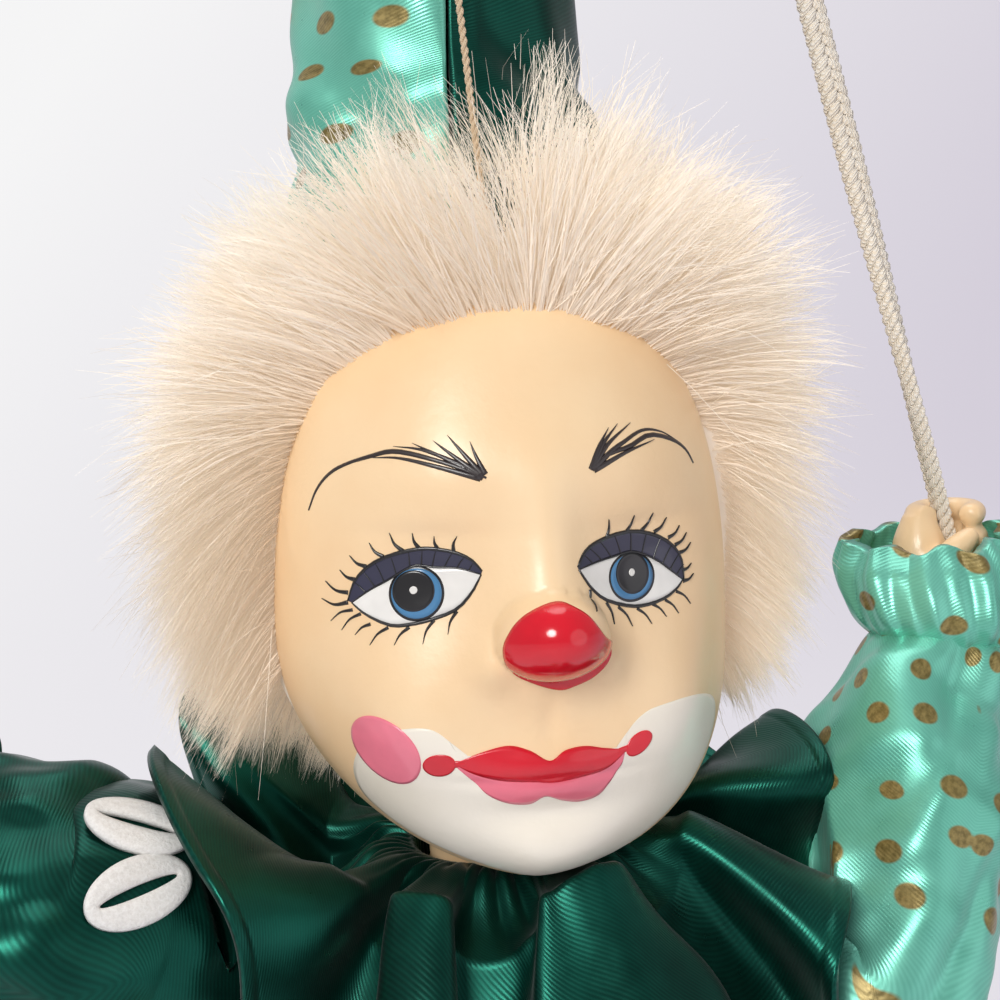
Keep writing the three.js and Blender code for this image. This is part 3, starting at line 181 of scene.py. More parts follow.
def facing_out(obj):
    """Turns every face of a closed mesh outwards."""
    work = bmesh.new()
    work.from_mesh(obj.data)
    bmesh.ops.recalc_face_normals(work, faces=work.faces)
    work.to_mesh(obj.data)
    work.free()
    return obj


def through(stations, samples):
    """Values along a smooth line through stations, by Catmull-Rom pieces of equal parameter."""
    p = np.asarray(stations, float)
    p = np.concatenate([2 * p[:1] - p[1:2], p, 2 * p[-1:] - p[-2:-1]])
    t = np.linspace(0, len(p) - 3, samples)
    i = np.minimum(t.astype(int), len(p) - 4)
    s = (t - i)[:, None]
    a, b, c, d = p[i], p[i + 1], p[i + 2], p[i + 3]
    return 0.5 * (2 * b + (c - a) * s + (2 * a - 5 * b + 4 * c - d) * s**2 + (3 * b - a - 3 * c + d) * s**3)


def around(outline, samples):
    """A closed smooth line through points, by Catmull-Rom pieces."""
    p = np.asarray(outline, float)
    count = len(p)
    t = np.linspace(0, count, samples, endpoint=False)
    i = t.astype(int)
    s = (t - i)[:, None]
    a, b, c, d = p[(i - 1) % count], p[i % count], p[(i + 1) % count], p[(i + 2) % count]
    return 0.5 * (2 * b + (c - a) * s + (2 * a - 5 * b + 4 * c - d) * s**2 + (3 * b - a - 3 * c + d) * s**3)


def frames_along(path, side):
    """Tangent, side and third axis at each point of a path; side is squared to the tangent."""
    along = unit(np.gradient(path, axis=0))
    side = np.broadcast_to(np.asarray(side, float), path.shape)
    u = unit(side - (along * side).sum(1, keepdims=True) * along)
    return along, u, np.cross(along, u)


def about(path, u, v, along_u, along_v):
    """Points beside each place of a path, at distances along its two cross axes."""
    return path[:, None] + u[:, None] * along_u[..., None] + v[:, None] * along_v[..., None]


def tube_grid(path, radius_u, radius_v, sides, side=(0, 1, 0)):
    """Rings of an oval tube along a path; each radius is one number or one for each place."""
    _, u, v = frames_along(path, side)
    turn = circle(sides)[None]
    shape = (len(path), sides)
    ru = np.broadcast_to(np.asarray(radius_u, float).reshape(-1, 1), shape)
    rv = np.broadcast_to(np.asarray(radius_v, float).reshape(-1, 1), shape)
    return about(path, u, v, ru * np.cos(turn), rv * np.sin(turn))


def tube_uv(grid):
    """Millimetres round and along a tube of rings."""
    middle = grid.mean(1)
    run = np.concatenate([[0], np.cumsum(np.linalg.norm(np.diff(middle, axis=0), axis=1))])
    girth = 2 * np.pi * np.linalg.norm(grid - middle[:, None], axis=-1).max()
    round_ = np.linspace(0, girth, grid.shape[1])
    uv = np.zeros(grid.shape[:2] + (2,))
    uv[..., 0] = np.abs(round_[None] - girth / 2)
    uv[..., 1] = run[:, None]
    return uv


def ripple(points, scale, seed):
    """Smooth uneven relief from -1 to 1: a sum of sines that run in several directions."""
    random = np.random.default_rng(seed)
    total = np.zeros(points.shape[:-1])
    for k in range(9):
        way = unit(random.normal(size=3)) * (0.6 + 0.25 * k)
        bend = 0.8 * np.sin(points @ way[::-1] / scale)
        total += np.sin(points @ way / scale + random.uniform(0, 6.3) + bend)
    return total / 5


def normals_of(grid):
    """Unit normals of a grid of points whose last column meets its first."""
    padded = np.concatenate([grid[:, -1:], grid, grid[:, :1]], 1)
    du = np.gradient(padded, axis=1)[:, 1:-1]
    dv = np.gradient(grid, axis=0)
    return unit(np.cross(du, dv))


# Materials

def linear(*colour):
    """Linear colour from 0-255 screen values."""
    c = np.array(colour, float) / 255
    return tuple(np.where(c <= 0.04045, c / 12.92, ((c + 0.055) / 1.055) ** 2.4).tolist()) + (1.0,)


class Finish:
    """A material whose nodes are added by short calls."""

    def __init__(self, name, colour, roughness, metallic=0.0, **sockets):
        """One even finish; more sockets by name, with an underline for each space."""
        self.material = bpy.data.materials.new(name)
        self.material.use_nodes = True
        self.nodes = self.material.node_tree.nodes
        self.links = self.material.node_tree.links
        self.shader = self.nodes["Principled BSDF"]
        self.shader.inputs["Base Color"].default_value = colour
        self.shader.inputs["Roughness"].default_value = roughness
        self.shader.inputs["Metallic"].default_value = metallic
        for socket, value in sockets.items():
            self.shader.inputs[socket.replace("_", " ")].default_value = value

    def node(self, kind, links=None, **values):
        """A shader node with its settings, and its inputs by name or number after in_."""
        node = self.nodes.new("ShaderNode" + kind)
        for key, value in values.items():
            if key.startswith("in_"):
                self.set_input(node, key[3:], value)
            else:
                setattr(node, key, value)
        for socket, source in (links or {}).items():
            self.links.new(source, node.inputs[socket])
        return node

    @staticmethod
    def set_input(node, key, value):
        """Sets an input by its number or its name."""
        socket = node.inputs[int(key)] if key.isdigit() else node.inputs[key.replace("_", " ")]
        socket.default_value = value

    def feed(self, node, values):
        """Links or sets inputs by number, as each value is a socket or a number."""
        for k, value in values:
            if hasattr(value, "links"):
                self.links.new(value, node.inputs[k])
            else:
                node.inputs[k].default_value = value

    def math(self, operation, first, second=0.0):
        """One sum of two sockets or numbers."""
        node = self.node("Math", operation=operation)
        self.feed(node, [(0, first), (1, second)])
        return node.outputs[0]

    def place(self, kind="Object", scale=(1, 1, 1), turn=0.0):
        """Places on the piece, scaled and turned before a pattern reads them."""
        place = self.node("TexCoord")
        mapping = self.node("Mapping", links={"Vector": place.outputs[kind]})
        mapping.inputs["Scale"].default_value = scale
        mapping.inputs["Rotation"].default_value = (0, 0, turn)
        return mapping.outputs[0]

    def noise(self, place, scale, detail=3.0, roughness=0.55):
        """Soft random clouds between 0 and 1."""
        node = self.node("TexNoise", links={"Vector": place}, in_Scale=scale, in_Detail=detail,
                         in_Roughness=roughness)
        return node.outputs["Fac"]

    def between(self, value, low, high, low_to=0.0, high_to=1.0):
        """A value carried from one range to another and held at its ends."""
        node = self.node("MapRange", links={"Value": value})
        for key, number in zip((1, 2, 3, 4), (low, high, low_to, high_to)):
            node.inputs[key].default_value = number
        return node.outputs[0]

    def mix(self, share, first, second):
        """A colour between two, by a share."""
        node = self.node("Mix", data_type="RGBA")
        self.feed(node, [(0, share), (6, first), (7, second)])
        return node.outputs[2]

    def colour(self, source):
        """The material's colour from a socket."""
        self.links.new(source, self.shader.inputs["Base Color"])

    def rough(self, source):
        """The material's roughness from a socket."""
        self.links.new(source, self.shader.inputs["Roughness"])

    def bump(self, height, distance, strength=1.0):
        """Small relief in the shading, to a depth in metres."""
        node = self.node("Bump", links={"Height": height})
        node.inputs["Strength"].default_value = strength
        node.inputs["Distance"].default_value = distance
        self.links.new(node.outputs[0], self.shader.inputs["Normal"])


def porcelain(name, colour, shade, roughness, coat=0.25):
    """Painted bisque: slow changes of tone, fine specks in the bump, a thin gloss."""
    finish = Finish(name, colour, roughness, Coat_Weight=coat, Coat_Roughness=0.18)
    place = finish.place()
    cloud = finish.between(finish.noise(place, 38, 4), 0.35, 0.7)
    finish.colour(finish.mix(cloud, colour, shade))
    finish.rough(finish.between(finish.noise(place, 160), 0.3, 0.7, roughness - 0.05, roughness + 0.08))
    finish.bump(finish.noise(place, 900, 2), 0.00004)
    return finish.material


RIB_SCALE = np.pi / 10 / 0.5  # wave texture's scale for ribs 0.5 mm apart


def satin(name, colour, glow, metallic, ovals=False):
    """Twill satin: a metallic sheen over a deep ground, fine slanted ribs, and gold ovals if asked."""
    finish = Finish(name, colour, 0.33, metallic, Sheen_Weight=0.1, Sheen_Roughness=0.4)
    place = finish.place("UV")
    ribs = finish.node("TexWave", links={"Vector": finish.place("UV", turn=1.15)}, bands_direction="X",
                       in_Scale=RIB_SCALE, in_Distortion=0.5, in_Detail=1.0)
    cloud = finish.between(finish.noise(finish.place(), 60, 3), 0.35, 0.7, 0.0, 0.5)
    tint = finish.math("ADD", cloud, finish.math("MULTIPLY", ribs.outputs["Fac"], 0.25))
    ground = finish.mix(tint, colour, glow)
    if ovals:
        cells = finish.node("TexVoronoi", links={"Vector": finish.place("UV", (0.075, 0.11, 1), 0.35)},
                            in_Scale=1.0, in_Randomness=0.42, voronoi_dimensions="2D")
        inside = finish.between(cells.outputs["Distance"], 0.165, 0.2, 1.0, 0.0)
        fleck = finish.between(finish.noise(place, 0.9, 4), 0.35, 0.65)
        gold = finish.mix(fleck, linear(112, 98, 52), linear(156, 138, 84))
        finish.colour(finish.mix(inside, ground, gold))
    else:
        finish.colour(ground)
    finish.rough(finish.between(finish.noise(finish.place(), 240), 0.3, 0.7, 0.27, 0.4))
    finish.bump(ribs.outputs["Fac"], 0.00002, 0.7)
    return finish.material


FUR_GLOW = 0.11  # strength of the fur's faint glow in its own colour: painted light in place of the light that reaches a hair through its neighbours


def pile(name, colour, shade):
    """Fur: each hair has its own tone, with painted shade that darkens it towards the root, a soft gloss
    along it, and a faint glow in its own colour as painted light.
    """
    finish = Finish(name, colour, 0.55, Sheen_Weight=0.3, Sheen_Roughness=0.5)
    tone = finish.node("Attribute", attribute_name="tone").outputs["Fac"]
    # Each hair takes the shade colour towards its root: painted shade.
    tone_and_shade = finish.mix(tone, shade, colour)
    finish.colour(tone_and_shade)
    # The same colour glows faintly as emission: painted light.
    finish.links.new(tone_and_shade, finish.shader.inputs["Emission Color"])
    finish.shader.inputs["Emission Strength"].default_value = FUR_GLOW
    return finish.material


def yarn(name, colour, shade, scale):
    """Cotton yarn: fine slanted fibres along each strand."""
    finish = Finish(name, colour, 0.85, Sheen_Weight=0.3)
    place = finish.place("UV")
    fibres = finish.node("TexWave", links={"Vector": place}, bands_direction="DIAGONAL", in_Scale=scale,
                         in_Distortion=2.0, in_Detail=2.0)
    cloud = finish.noise(finish.place(), 300, 3)
    slant = finish.math("MULTIPLY", fibres.outputs["Fac"], 0.5)
    tone = finish.math("ADD", slant, finish.math("MULTIPLY", cloud, 0.6))
    finish.colour(finish.mix(finish.between(tone, 0.25, 0.9), shade, colour))
    finish.bump(fibres.outputs["Fac"], 0.00012)
    return finish.material


def gloss_paint(name, colour, roughness=0.22):
    """Enamel laid by brush: a hard gloss with slight waviness."""
    finish = Finish(name, colour, roughness, Coat_Weight=0.5, Coat_Roughness=0.1)
    place = finish.place()
    finish.colour(finish.mix(finish.between(finish.noise(place, 120, 3), 0.3, 0.7), colour,
                             tuple(0.82 * c for c in colour[:3]) + (1,)))
    finish.bump(finish.noise(place, 260, 2), 0.00006)
    return finish.material


def pine():
    """Straight wood grain along the board with darker late-growth lines and a satin varnish."""
    finish = Finish("varnished_pine", linear(205, 160, 105), 0.4, Coat_Weight=0.2, Coat_Roughness=0.3)
    place = finish.place("Object", (3, 60, 60))
    grain = finish.noise(place, 3.5, 6, 0.6)
    lines = finish.node("TexWave", links={"Vector": finish.place("Object", (2, 1, 1))}, bands_direction="Y",
                        in_Scale=70.0, in_Distortion=3.0, in_Detail=3.0)
    tone = finish.math("MULTIPLY", lines.outputs["Fac"], grain)
    finish.colour(finish.mix(finish.between(tone, 0.1, 0.55), linear(214, 170, 116), linear(160, 112, 66)))
    finish.bump(tone, 0.00012)
    return finish.material


def brass():
    """Polished brass with fine scratches."""
    finish = Finish("polished_brass", linear(212, 172, 92), 0.22, 1.0)
    scratch = finish.noise(finish.place("Object", (1, 12, 1)), 400, 3)
    finish.rough(finish.between(scratch, 0.3, 0.7, 0.16, 0.34))
    finish.bump(scratch, 0.00003)
    return finish.material


def weave(name, colour, shade, scale):
    """Plain weave or felt: crossed fine waves with fibre noise."""
    finish = Finish(name, colour, 0.9, Sheen_Weight=0.3)
    place = finish.place()
    threads = finish.noise(place, scale, 4, 0.7)
    finish.colour(finish.mix(finish.between(threads, 0.3, 0.7), shade, colour))
    finish.bump(threads, 0.0002)
    return finish.material


SKIN = porcelain("skin_porcelain", linear(253, 222, 178), linear(248, 210, 162), 0.36)
WHITE_GLAZE = porcelain("white_glaze", linear(250, 243, 228), linear(244, 235, 216), 0.34)
RED_ENAMEL = gloss_paint("red_enamel", linear(226, 12, 38), 0.16)
LIP_RED = gloss_paint("lip_red", linear(226, 22, 44), 0.3)
LIP_PINK = gloss_paint("lip_pink", linear(248, 122, 142), 0.32)
CHEEK_PINK = gloss_paint("cheek_pink", linear(252, 134, 154), 0.34)
EYE_WHITE = gloss_paint("eye_white", linear(248, 246, 240), 0.3)
BLACK_PAINT = gloss_paint("black_paint", linear(16, 14, 18), 0.3)
BROW_PAINT = gloss_paint("brow_paint", linear(44, 34, 34), 0.4)
LID_PAINT = gloss_paint("lid_paint", linear(48, 48, 72), 0.32)
IRIS_BLUE = gloss_paint("iris_blue", linear(74, 136, 184), 0.28)
SHOE_ENAMEL = gloss_paint("shoe_enamel", linear(150, 14, 30), 0.2)
GREEN_SATIN = satin("green_satin", linear(3, 56, 46), linear(14, 98, 82), 0.8)
MINT_SATIN = satin("mint_satin", linear(98, 182, 160), linear(134, 218, 196), 0.42, ovals=True)
# The second colour is painted shade, taken by the hairs' roots, the underfur and the pompon's core.
FUR = pile("cream_pile", linear(255, 247, 234), linear(226, 204, 178))
ROPE = yarn("rope_cotton", linear(255, 250, 240), linear(246, 232, 210), 1.1)
STRING = yarn("string_cotton", linear(250, 226, 192), linear(226, 194, 154), 1.6)
MUSLIN = weave("plain_muslin", linear(226, 214, 190), linear(196, 180, 150), 1500)
FELT = weave("white_felt", linear(250, 249, 246), linear(226, 223, 218), 1900)
WASHER_FELT = weave("grey_felt", linear(170, 160, 145), linear(130, 120, 108), 1900)
CORK = weave("pate_cork", linear(176, 140, 100), linear(120, 88, 58), 500)
PINE = pine()
BRASS = brass()


def paint(obj, material):
    """Gives a piece its only material."""
    obj.data.materials.clear()
    obj.data.materials.append(material)
    return obj


def belongs(obj, material, slot, body, *nodes):
    """Paints a piece, ties it to its body and hides the CAD nodes that it stands for; slot is not used."""
    paint(obj, material)
    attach(obj, body)
    if nodes:
        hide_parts(*nodes)
    return obj


# Ropes: each a flat plait of five round yarn strands

ROPE_WIDTH, ROPE_THICK, ROPE_PITCH = 4.6, 2.8, 9
STRAND_WIDTH, STRAND_THICK, STRAND_PITCH = 3.4, 2.6, 8
GRIP = np.array([84.0, 18.0])
GRIP_Z = 146.0  # of both fists
SPLIT = np.array([86.0, 18.0, 99.0])
BIGHT_RADIUS, BIGHT_HALF_THICK, RING_GAP = 4.6, 1.7, 0.3
BIGHT_Z = RING_Z - RING_RADIUS - (BIGHT_RADIUS - BIGHT_HALF_THICK - RING_WIRE - RING_GAP)
TOP_KNOT_HEIGHT = 13.0
TOP_KNOT_Z = BIGHT_Z - BIGHT_RADIUS - TOP_KNOT_HEIGHT * 0.4
SEAT_THICK = 8.0
HOLE_X = 150 / 2 - 15
HOLE_Y = {"front": 14 - 62 / 2 + 11, "rear": 14 + 62 / 2 - 11}
SIDES = {"left": 1.0, "right": -1.0}
YARNS = 5  # in each plait


def plait(name, path, width, thick, pitch, side):
    """Strands whose middles swing across by a sine and through by a sine of twice the rate."""
    _, u, v = frames_along(path, side)
    run = np.concatenate([[0], np.cumsum(np.linalg.norm(np.diff(path, axis=0), axis=1))])
    wide, deep = width * 0.17, thick * 0.24
    parts = []
    for k in range(YARNS):
        phase = 2 * np.pi * (run / pitch + k / YARNS)
        across = (width / 2 - wide) * np.sin(phase)
        over = (thick / 2 - deep) * np.sin(2 * phase)
        line = path + u * across[:, None] + v * over[:, None]
        grid = tube_grid(line, wide, deep, 8, side)
        parts.append(capped(grid, tube_uv(grid)))
    points, faces, uv = joined(parts)
    return facing_out(make_mesh(name, points, faces, uv=uv))


def rope_path(hand):
    """The rope from the top knot through the fist to the split knot, as in the part's own route."""
    side = SIDES[hand]
    top = np.array([side * 2.6, NECK_Y, TOP_KNOT_Z - TOP_KNOT_HEIGHT * 0.3])
    grip = np.array([side * GRIP[0], GRIP[1], GRIP_Z + 4])
    stations = [top + (grip - top) * t for t in (0, 0.25, 0.5, 0.75)]
    stations += [grip, grip - [0, 0, 12], SPLIT * [side, 1, 1]]
    return stations


def even(points, spacing):
    """A smooth line through points, resampled at even spacing."""
    fine = through(points, 600)
    run = np.concatenate([[0], np.cumsum(np.linalg.norm(np.diff(fine, axis=0), axis=1))])
    want = np.linspace(0, run[-1], max(8, int(run[-1] / spacing)))
    return np.stack([np.interp(want, run, fine[:, k]) for k in range(3)], 1)


def knot(name, centre, radius, height, strand):
    """A tied knot: a trefoil line, squeezed to the knot's width and height, carried by a round strand."""
    t = circle(90)
    reach = 3.0
    x = (np.sin(t) + 2 * np.sin(2 * t)) / reach
    y = (np.cos(t) - 2 * np.cos(2 * t)) / reach
    z = -np.sin(3 * t)
    line = np.stack([x * (radius - strand), z * (radius - strand) * 0.8, y * (height - strand)], 1) + centre
    ahead = unit(np.roll(line, -1, 0) - np.roll(line, 1, 0))
    out = unit(line - centre)
    u = unit(out - (out * ahead).sum(1, keepdims=True) * ahead)
    v = np.cross(ahead, u)
    turn = circle(12)
    grid = line[:, None] + strand * (u[:, None] * np.cos(turn)[None, :, None]
                                     + v[:, None] * np.sin(turn)[None, :, None])
    uv = np.zeros((90, 12, 2))
    uv[..., 0] = turn[None] * strand
    uv[..., 1] = np.arange(90)[:, None] * 0.6
    obj = make_mesh(name, grid, [grid_faces(90, 12, wrap_rows=True)], uv=uv)
    return facing_out(obj)


def bight():
    """The rope's turn round the ring: a plait bent into a loop in the plane x = 0."""
    t = np.linspace(-0.42 * np.pi, 1.42 * np.pi, 90)
    path = np.stack([np.zeros(90), NECK_Y + BIGHT_RADIUS * np.cos(t), BIGHT_Z + BIGHT_RADIUS * np.sin(t)], 1)
    return plait("rope_bight", path, 3.6, 2.6, ROPE_PITCH, (1, 0, 0))


def strand_path(hand, end):
    """From the parting knot over a middle point to the seat's hole, and down through it."""
    side, y = SIDES[hand], HOLE_Y[end]
    x = side * HOLE_X
    start = SPLIT * [side, 1, 1]
    middle = start + ([x, y, 0] - start) * 0.55
    return [start - [0, 0, 2], middle, [x, y, 3], [x, y, -SEAT_THICK], [x, y, -SEAT_THICK - 3]]


def rope_sides(path):
    """The braid's width lies across the view above the doll and turns edge-on where it enters the fist."""
    turn = np.radians(np.interp(path[:, 2], [165, 215], [78, 8]))
    return np.stack([np.cos(turn), np.sin(turn), 0 * turn], 1)


for hand in SIDES:
    route = even(rope_path(hand), 0.55)
    main = plait(f"plaited_rope_{hand}", route, ROPE_WIDTH, ROPE_THICK, ROPE_PITCH, rope_sides(route))
    belongs(main, ROPE, "cotton_rope", "swing", f"rope_{hand}")
    tied = knot(f"parting_knot_{hand}", SPLIT * [SIDES[hand], 1, 1], 4.4, 5.5, 1.7)
    belongs(tied, ROPE, "cotton_rope", "swing", f"split_knot_{hand}")
    for end, y in HOLE_Y.items():
        route = even(strand_path(hand, end), 0.5)
        line = plait(f"seat_strand_{hand}_{end}", route, STRAND_WIDTH, STRAND_THICK, STRAND_PITCH,
                     (0.25, 1, 0))
        belongs(line, ROPE, "cotton_rope", "swing", f"strand_{hand}_{end}")
        foot = np.array([SIDES[hand] * HOLE_X, y, -SEAT_THICK - 0.3 - 4.2])
        stopper = knot(f"stopper_knot_{hand}_{end}", foot, 4.2, 4.2, 1.6)
        belongs(stopper, ROPE, "cotton_rope", "swing", f"seat_knot_{hand}_{end}")

loop = bight()
belongs(loop, ROPE, "cotton_rope", "swing", "top_knot")
tied = knot("gathering_knot", np.array([0, NECK_Y, TOP_KNOT_Z]), 5.4, 6.5, 2.0)
belongs(tied, ROPE, "cotton_rope", "swing", "top_knot")


def hanging_ring():
    """A torus in the plane y = NECK_Y."""
    t = circle(96)[:, None]
    s = circle(24)[None]
    reach = RING_RADIUS + RING_WIRE * np.cos(s)
    grid = np.stack([reach * np.cos(t), NECK_Y + RING_WIRE * np.sin(s) + 0 * t,
                     RING_Z + reach * np.sin(t)], -1)
    return facing_out(make_mesh("ring", grid, [grid_faces(96, 24, wrap_rows=True)]))


belongs(hanging_ring(), BRASS, "ring_brass", "hanger", "hanging_ring")


# Head: one surface by distance round from the midline and height, with the moulded face as relief

HALF_WIDTH, FRONT, BACK, CROWN, CHIN = 32.2, 31.5, 36.0, 50.0, 35.6
JAW_LEFT, JAW_RIGHT, JAW_FRONT = 2.9, 2.0, 4.9  # how square the jaw is on each side and in front
NOSE_RISE, NOSE_HALF_WIDTH, NOSE_HALF_HEIGHT = 8.5, 6.6, 5.4


def arch(t, fullness):
    """From 1 at the middle to 0 at the end, fuller as the exponent grows."""
    return np.maximum(0, 1 - np.abs(t) ** fullness) ** (1 / fullness)


def mound(u, v):
    """A smooth round hill of height 1."""
    return np.exp(-(u * u + v * v))


def head_section(across, z):
    """Half width and depths before and behind, each an arch above and below its fullest level."""
    upper = lambda level: (z - level) / (CROWN - level)
    lower = lambda level: (level - z) / (level + CHIN)
    jaw = np.where(across > 0, JAW_LEFT, JAW_RIGHT)
    width = np.where(z > -1.5, arch(upper(-1.5), 2.2), arch(lower(-1.5), jaw))
    front = np.where(z > 8, arch(upper(8), 2.3), arch(lower(8), JAW_FRONT))
    back = np.where(z > 14, arch(upper(14), 2.2), arch(lower(14), 2.0))
    return HALF_WIDTH * width, FRONT * front, BACK * back


def face_relief(across, z):
    """Mounds and hollows added to the plain head: nose, bridge, eye sockets, brow, cheeks, lips and chin."""
    side = np.abs(across)
    cap = np.maximum(0, 1 - (across / NOSE_HALF_WIDTH) ** 2 - ((z - 0.5) / NOSE_HALF_HEIGHT) ** 2)
    base = (NOSE_RISE * 0.62 * cap**0.5 + NOSE_RISE * 0.5 * mound(across / 7.5, (z - 1) / 8)
            + 1.8 * mound(across / 4, (z - 11) / 9) - 2.6 * mound((side - 14) / 8, (z - 6.5) / 6)
            + 1.3 * mound(across / 22, (z - 20) / 6) + 2.2 * mound((side - 17) / 8, (z + 11) / 8)
            + 1.5 * mound(across / 11, (z + 16.5) / 4) - 0.9 * mound(across / 8, (z + 23) / 2.4)
            + 2.6 * mound(across / 10, (z + 29) / 5))
    fine = (1.1 * mound((side - 15.2) / 6.5, (z - 6) / 4.4) - 0.35 * mound((side - 15) / 9, (z - 12.6) / 1.3)
            + 1.3 * mound((side - 7) / 2.6, (z + 3.6) / 3.0)
            + 0.55 * mound((across + 0.6) / 8.5, (z + 15.8) / 1.8)
            + 0.7 * mound((across + 0.4) / 7, (z + 20) / 2.0)
            - 0.45 * mound((across + 0.6) / 10, (z + 18.0) / 0.7)
            - 0.4 * mound(across / 1.5, (z + 10) / 3.4))
    return base + fine


def upright_head(across, z):
    """Oval section of exponent 2.15, moved out along its radius by the face relief on the front."""
    turn = across / HALF_WIDTH
    s, c = np.sin(turn), np.cos(turn)
    width, front, back = head_section(across, z)
    flat = (np.abs(s) ** 2.15 + np.abs(c) ** 2.15) ** (-1 / 2.15)
    depth = np.where(c > 0, front, back)
    rise = face_relief(across, z) * np.maximum(0, c) ** 0.5
    return np.stack([width * flat * s + rise * s, -(depth * flat * c + rise * c), z + HEAD_Z], -1)


def on_head(across, z, lift=0.0):
    """A point of the head's skin, moved out along the skin's normal by lift."""
    across, z = np.broadcast_arrays(np.asarray(across, float), np.asarray(z, float))
    step = 0.05
    p = upright_head(across, z)
    du = upright_head(across + step, z) - upright_head(across - step, z)
    dv = upright_head(across, z + step) - upright_head(across, z - step)
    return lean(p + unit(np.cross(du, dv)) * np.asarray(lift, float)[..., None])


def head_piece():
    """Rings of constant height, closer near the chin and crown, with columns closer on the face."""
    rows, columns = 236, 380
    t = np.linspace(0, np.pi, rows + 2)[1:-1]
    z = (-CHIN + (CROWN + CHIN) * (1 - np.cos(t)) / 2)[:, None]
    even_turn = circle(columns)
    turn = even_turn - 0.35 * np.sin(even_turn)
    across = (np.where(turn > np.pi, turn - 2 * np.pi, turn) * HALF_WIDTH)[None]
    grid = lean(upright_head(across + 0 * z, z + 0 * across))
    points, faces, _ = capped(grid)
    return facing_out(make_mesh("painted_head", points, faces))


def lathe(name, profile, centre, sides=64):
    """A profile of radius and height turned about an upright line."""
    profile = np.asarray(profile, float)
    t = circle(sides)[None]
    r, z = profile[:, :1], profile[:, 1:]
    grid = np.stack([centre[0] + r * np.cos(t), centre[1] + r * np.sin(t), z + 0 * t], -1)
    points, faces, _ = capped(grid)
    return facing_out(make_mesh(name, points, faces))


belongs(head_piece(), SKIN, "painted_porcelain", "head", "head_shell")
ball = [(11.5 * np.sin(a), 110 - 11.5 * np.cos(a)) for a in np.linspace(0.35, 2.05, 14)]
neck_profile = ball + [(10.2, 117), (10.2, 124), (10.6, 128)]
belongs(lathe("porcelain_neck", neck_profile, (0, NECK_Y)), SKIN, "painted_porcelain", "head", "head_shell")


# Face paint: thin closed skins that follow the head, in millimetres round and up from the nose

LINE_BASE = -0.25


def skin_pair(across, z, lift):
    """The top of a painted patch, then its underside in reverse, which close on each other."""
    top = on_head(across, z, np.full(across.shape, lift))
    low = on_head(across, z, np.full(across.shape, LINE_BASE))
    return np.concatenate([top, low[::-1]])


def patch(name, outline, centre, material, lift, samples=120, rings=14):
    """Rings that shrink from a closed outline to its centre, above and below the skin."""
    edge = around(outline, samples)
    share = np.linspace(1e-3, 1, rings)[:, None, None]
    flat = np.asarray(centre) + share * (edge[None] - centre)
    grid = skin_pair(flat[..., 0], flat[..., 1], lift)
    points, faces, _ = capped(grid)
    obj = facing_out(make_mesh(name, points, faces))
    return belongs(obj, material, "painted_porcelain", "head")


def oval(centre, half_width, half_height, tilt=0.0, samples=24):
    """An ellipse about a centre, tilted by degrees."""
    t = circle(samples)
    c, s = np.cos(np.radians(tilt)), np.sin(np.radians(tilt))
    x, y = half_width * np.cos(t), half_height * np.sin(t)
    return np.stack([centre[0] + x * c - y * s, centre[1] + x * s + y * c], 1)


def band(name, upper, lower, material, lift, samples=90, rows=8):
    """A patch ruled between an upper and a lower line."""
    top, low = through(upper, samples), through(lower, samples)
    share = np.linspace(0, 1, rows)[:, None, None]
    flat = top[None] * (1 - share) + low[None] * share
    a = on_head(flat[..., 0], flat[..., 1], np.full(flat.shape[:2], lift))
    b = on_head(flat[..., 0], flat[..., 1], np.full(flat.shape[:2], LINE_BASE))
    points = np.concatenate([a.reshape(-1, 3), b.reshape(-1, 3)])
    count = rows * samples
    faces = [grid_faces(rows, samples, wrap_columns=False),
             grid_faces(rows, samples, wrap_columns=False, start=count)[:, ::-1]]
    edge = np.concatenate([np.arange(samples), np.arange(1, rows) * samples + samples - 1,
                           (rows - 1) * samples + np.arange(samples - 1)[::-1],
                           np.arange(1, rows - 1)[::-1] * samples])
    step = np.roll(edge, -1)
    faces.append(np.stack([edge, edge + count, step + count, step], 1))
    obj = facing_out(make_mesh(name, points, faces))
    return belongs(obj, material, "painted_porcelain", "head")


def strokes(name, lines, material, lift):
    """Brush strokes: each a low ridge along a line, whose width goes from its root to its tip."""
    parts = []
    for stations, root, tip in lines:
        line = through(stations, 18)
        ahead = unit(np.gradient(line, axis=0))
        across = np.stack([-ahead[:, 1], ahead[:, 0]], 1)
        share = np.linspace(0, 1, 18)
        half = (root * (1 - share) ** 0.8 + tip * share ** 0.6 * (1 - share) * 0.5) / 2 + 0.02
        if tip > root:
            half = (root + (tip - root) * np.sin(np.pi * share) ** 0.7) / 2
        corners = [(-1, 0.02), (-0.45, lift), (0.45, lift), (1, 0.02), (0, LINE_BASE)]
        ring = []
        for where, height in corners:
            spot = line + across * (half * where)[:, None]
            ring.append(on_head(spot[:, 0], spot[:, 1], np.full(18, height)))
        parts.append(capped(np.stack(ring, 1)))
    points, faces, _ = joined(parts)
    obj = facing_out(make_mesh(name, points, faces))
    return belongs(obj, material, "painted_porcelain", "head")


NOSE_EDGE = [(-5.6, -0.5), (-4.8, -3.5), (-2.6, -5.1), (0.6, -6.4), (2.6, -6.1), (4.9, -5.0), (6.7, -2.4),
             (6.0, -0.6), (4.2, 0.9), (2.5, 3.5), (1.0, 4.8), (-0.2, 5.3), (-1.8, 4.9), (-3.6, 3.7),
             (-4.9, 1.9)]
patch("red_nose", NOSE_EDGE, (0.3, -0.5), RED_ENAMEL, 0.22, 140, 26)

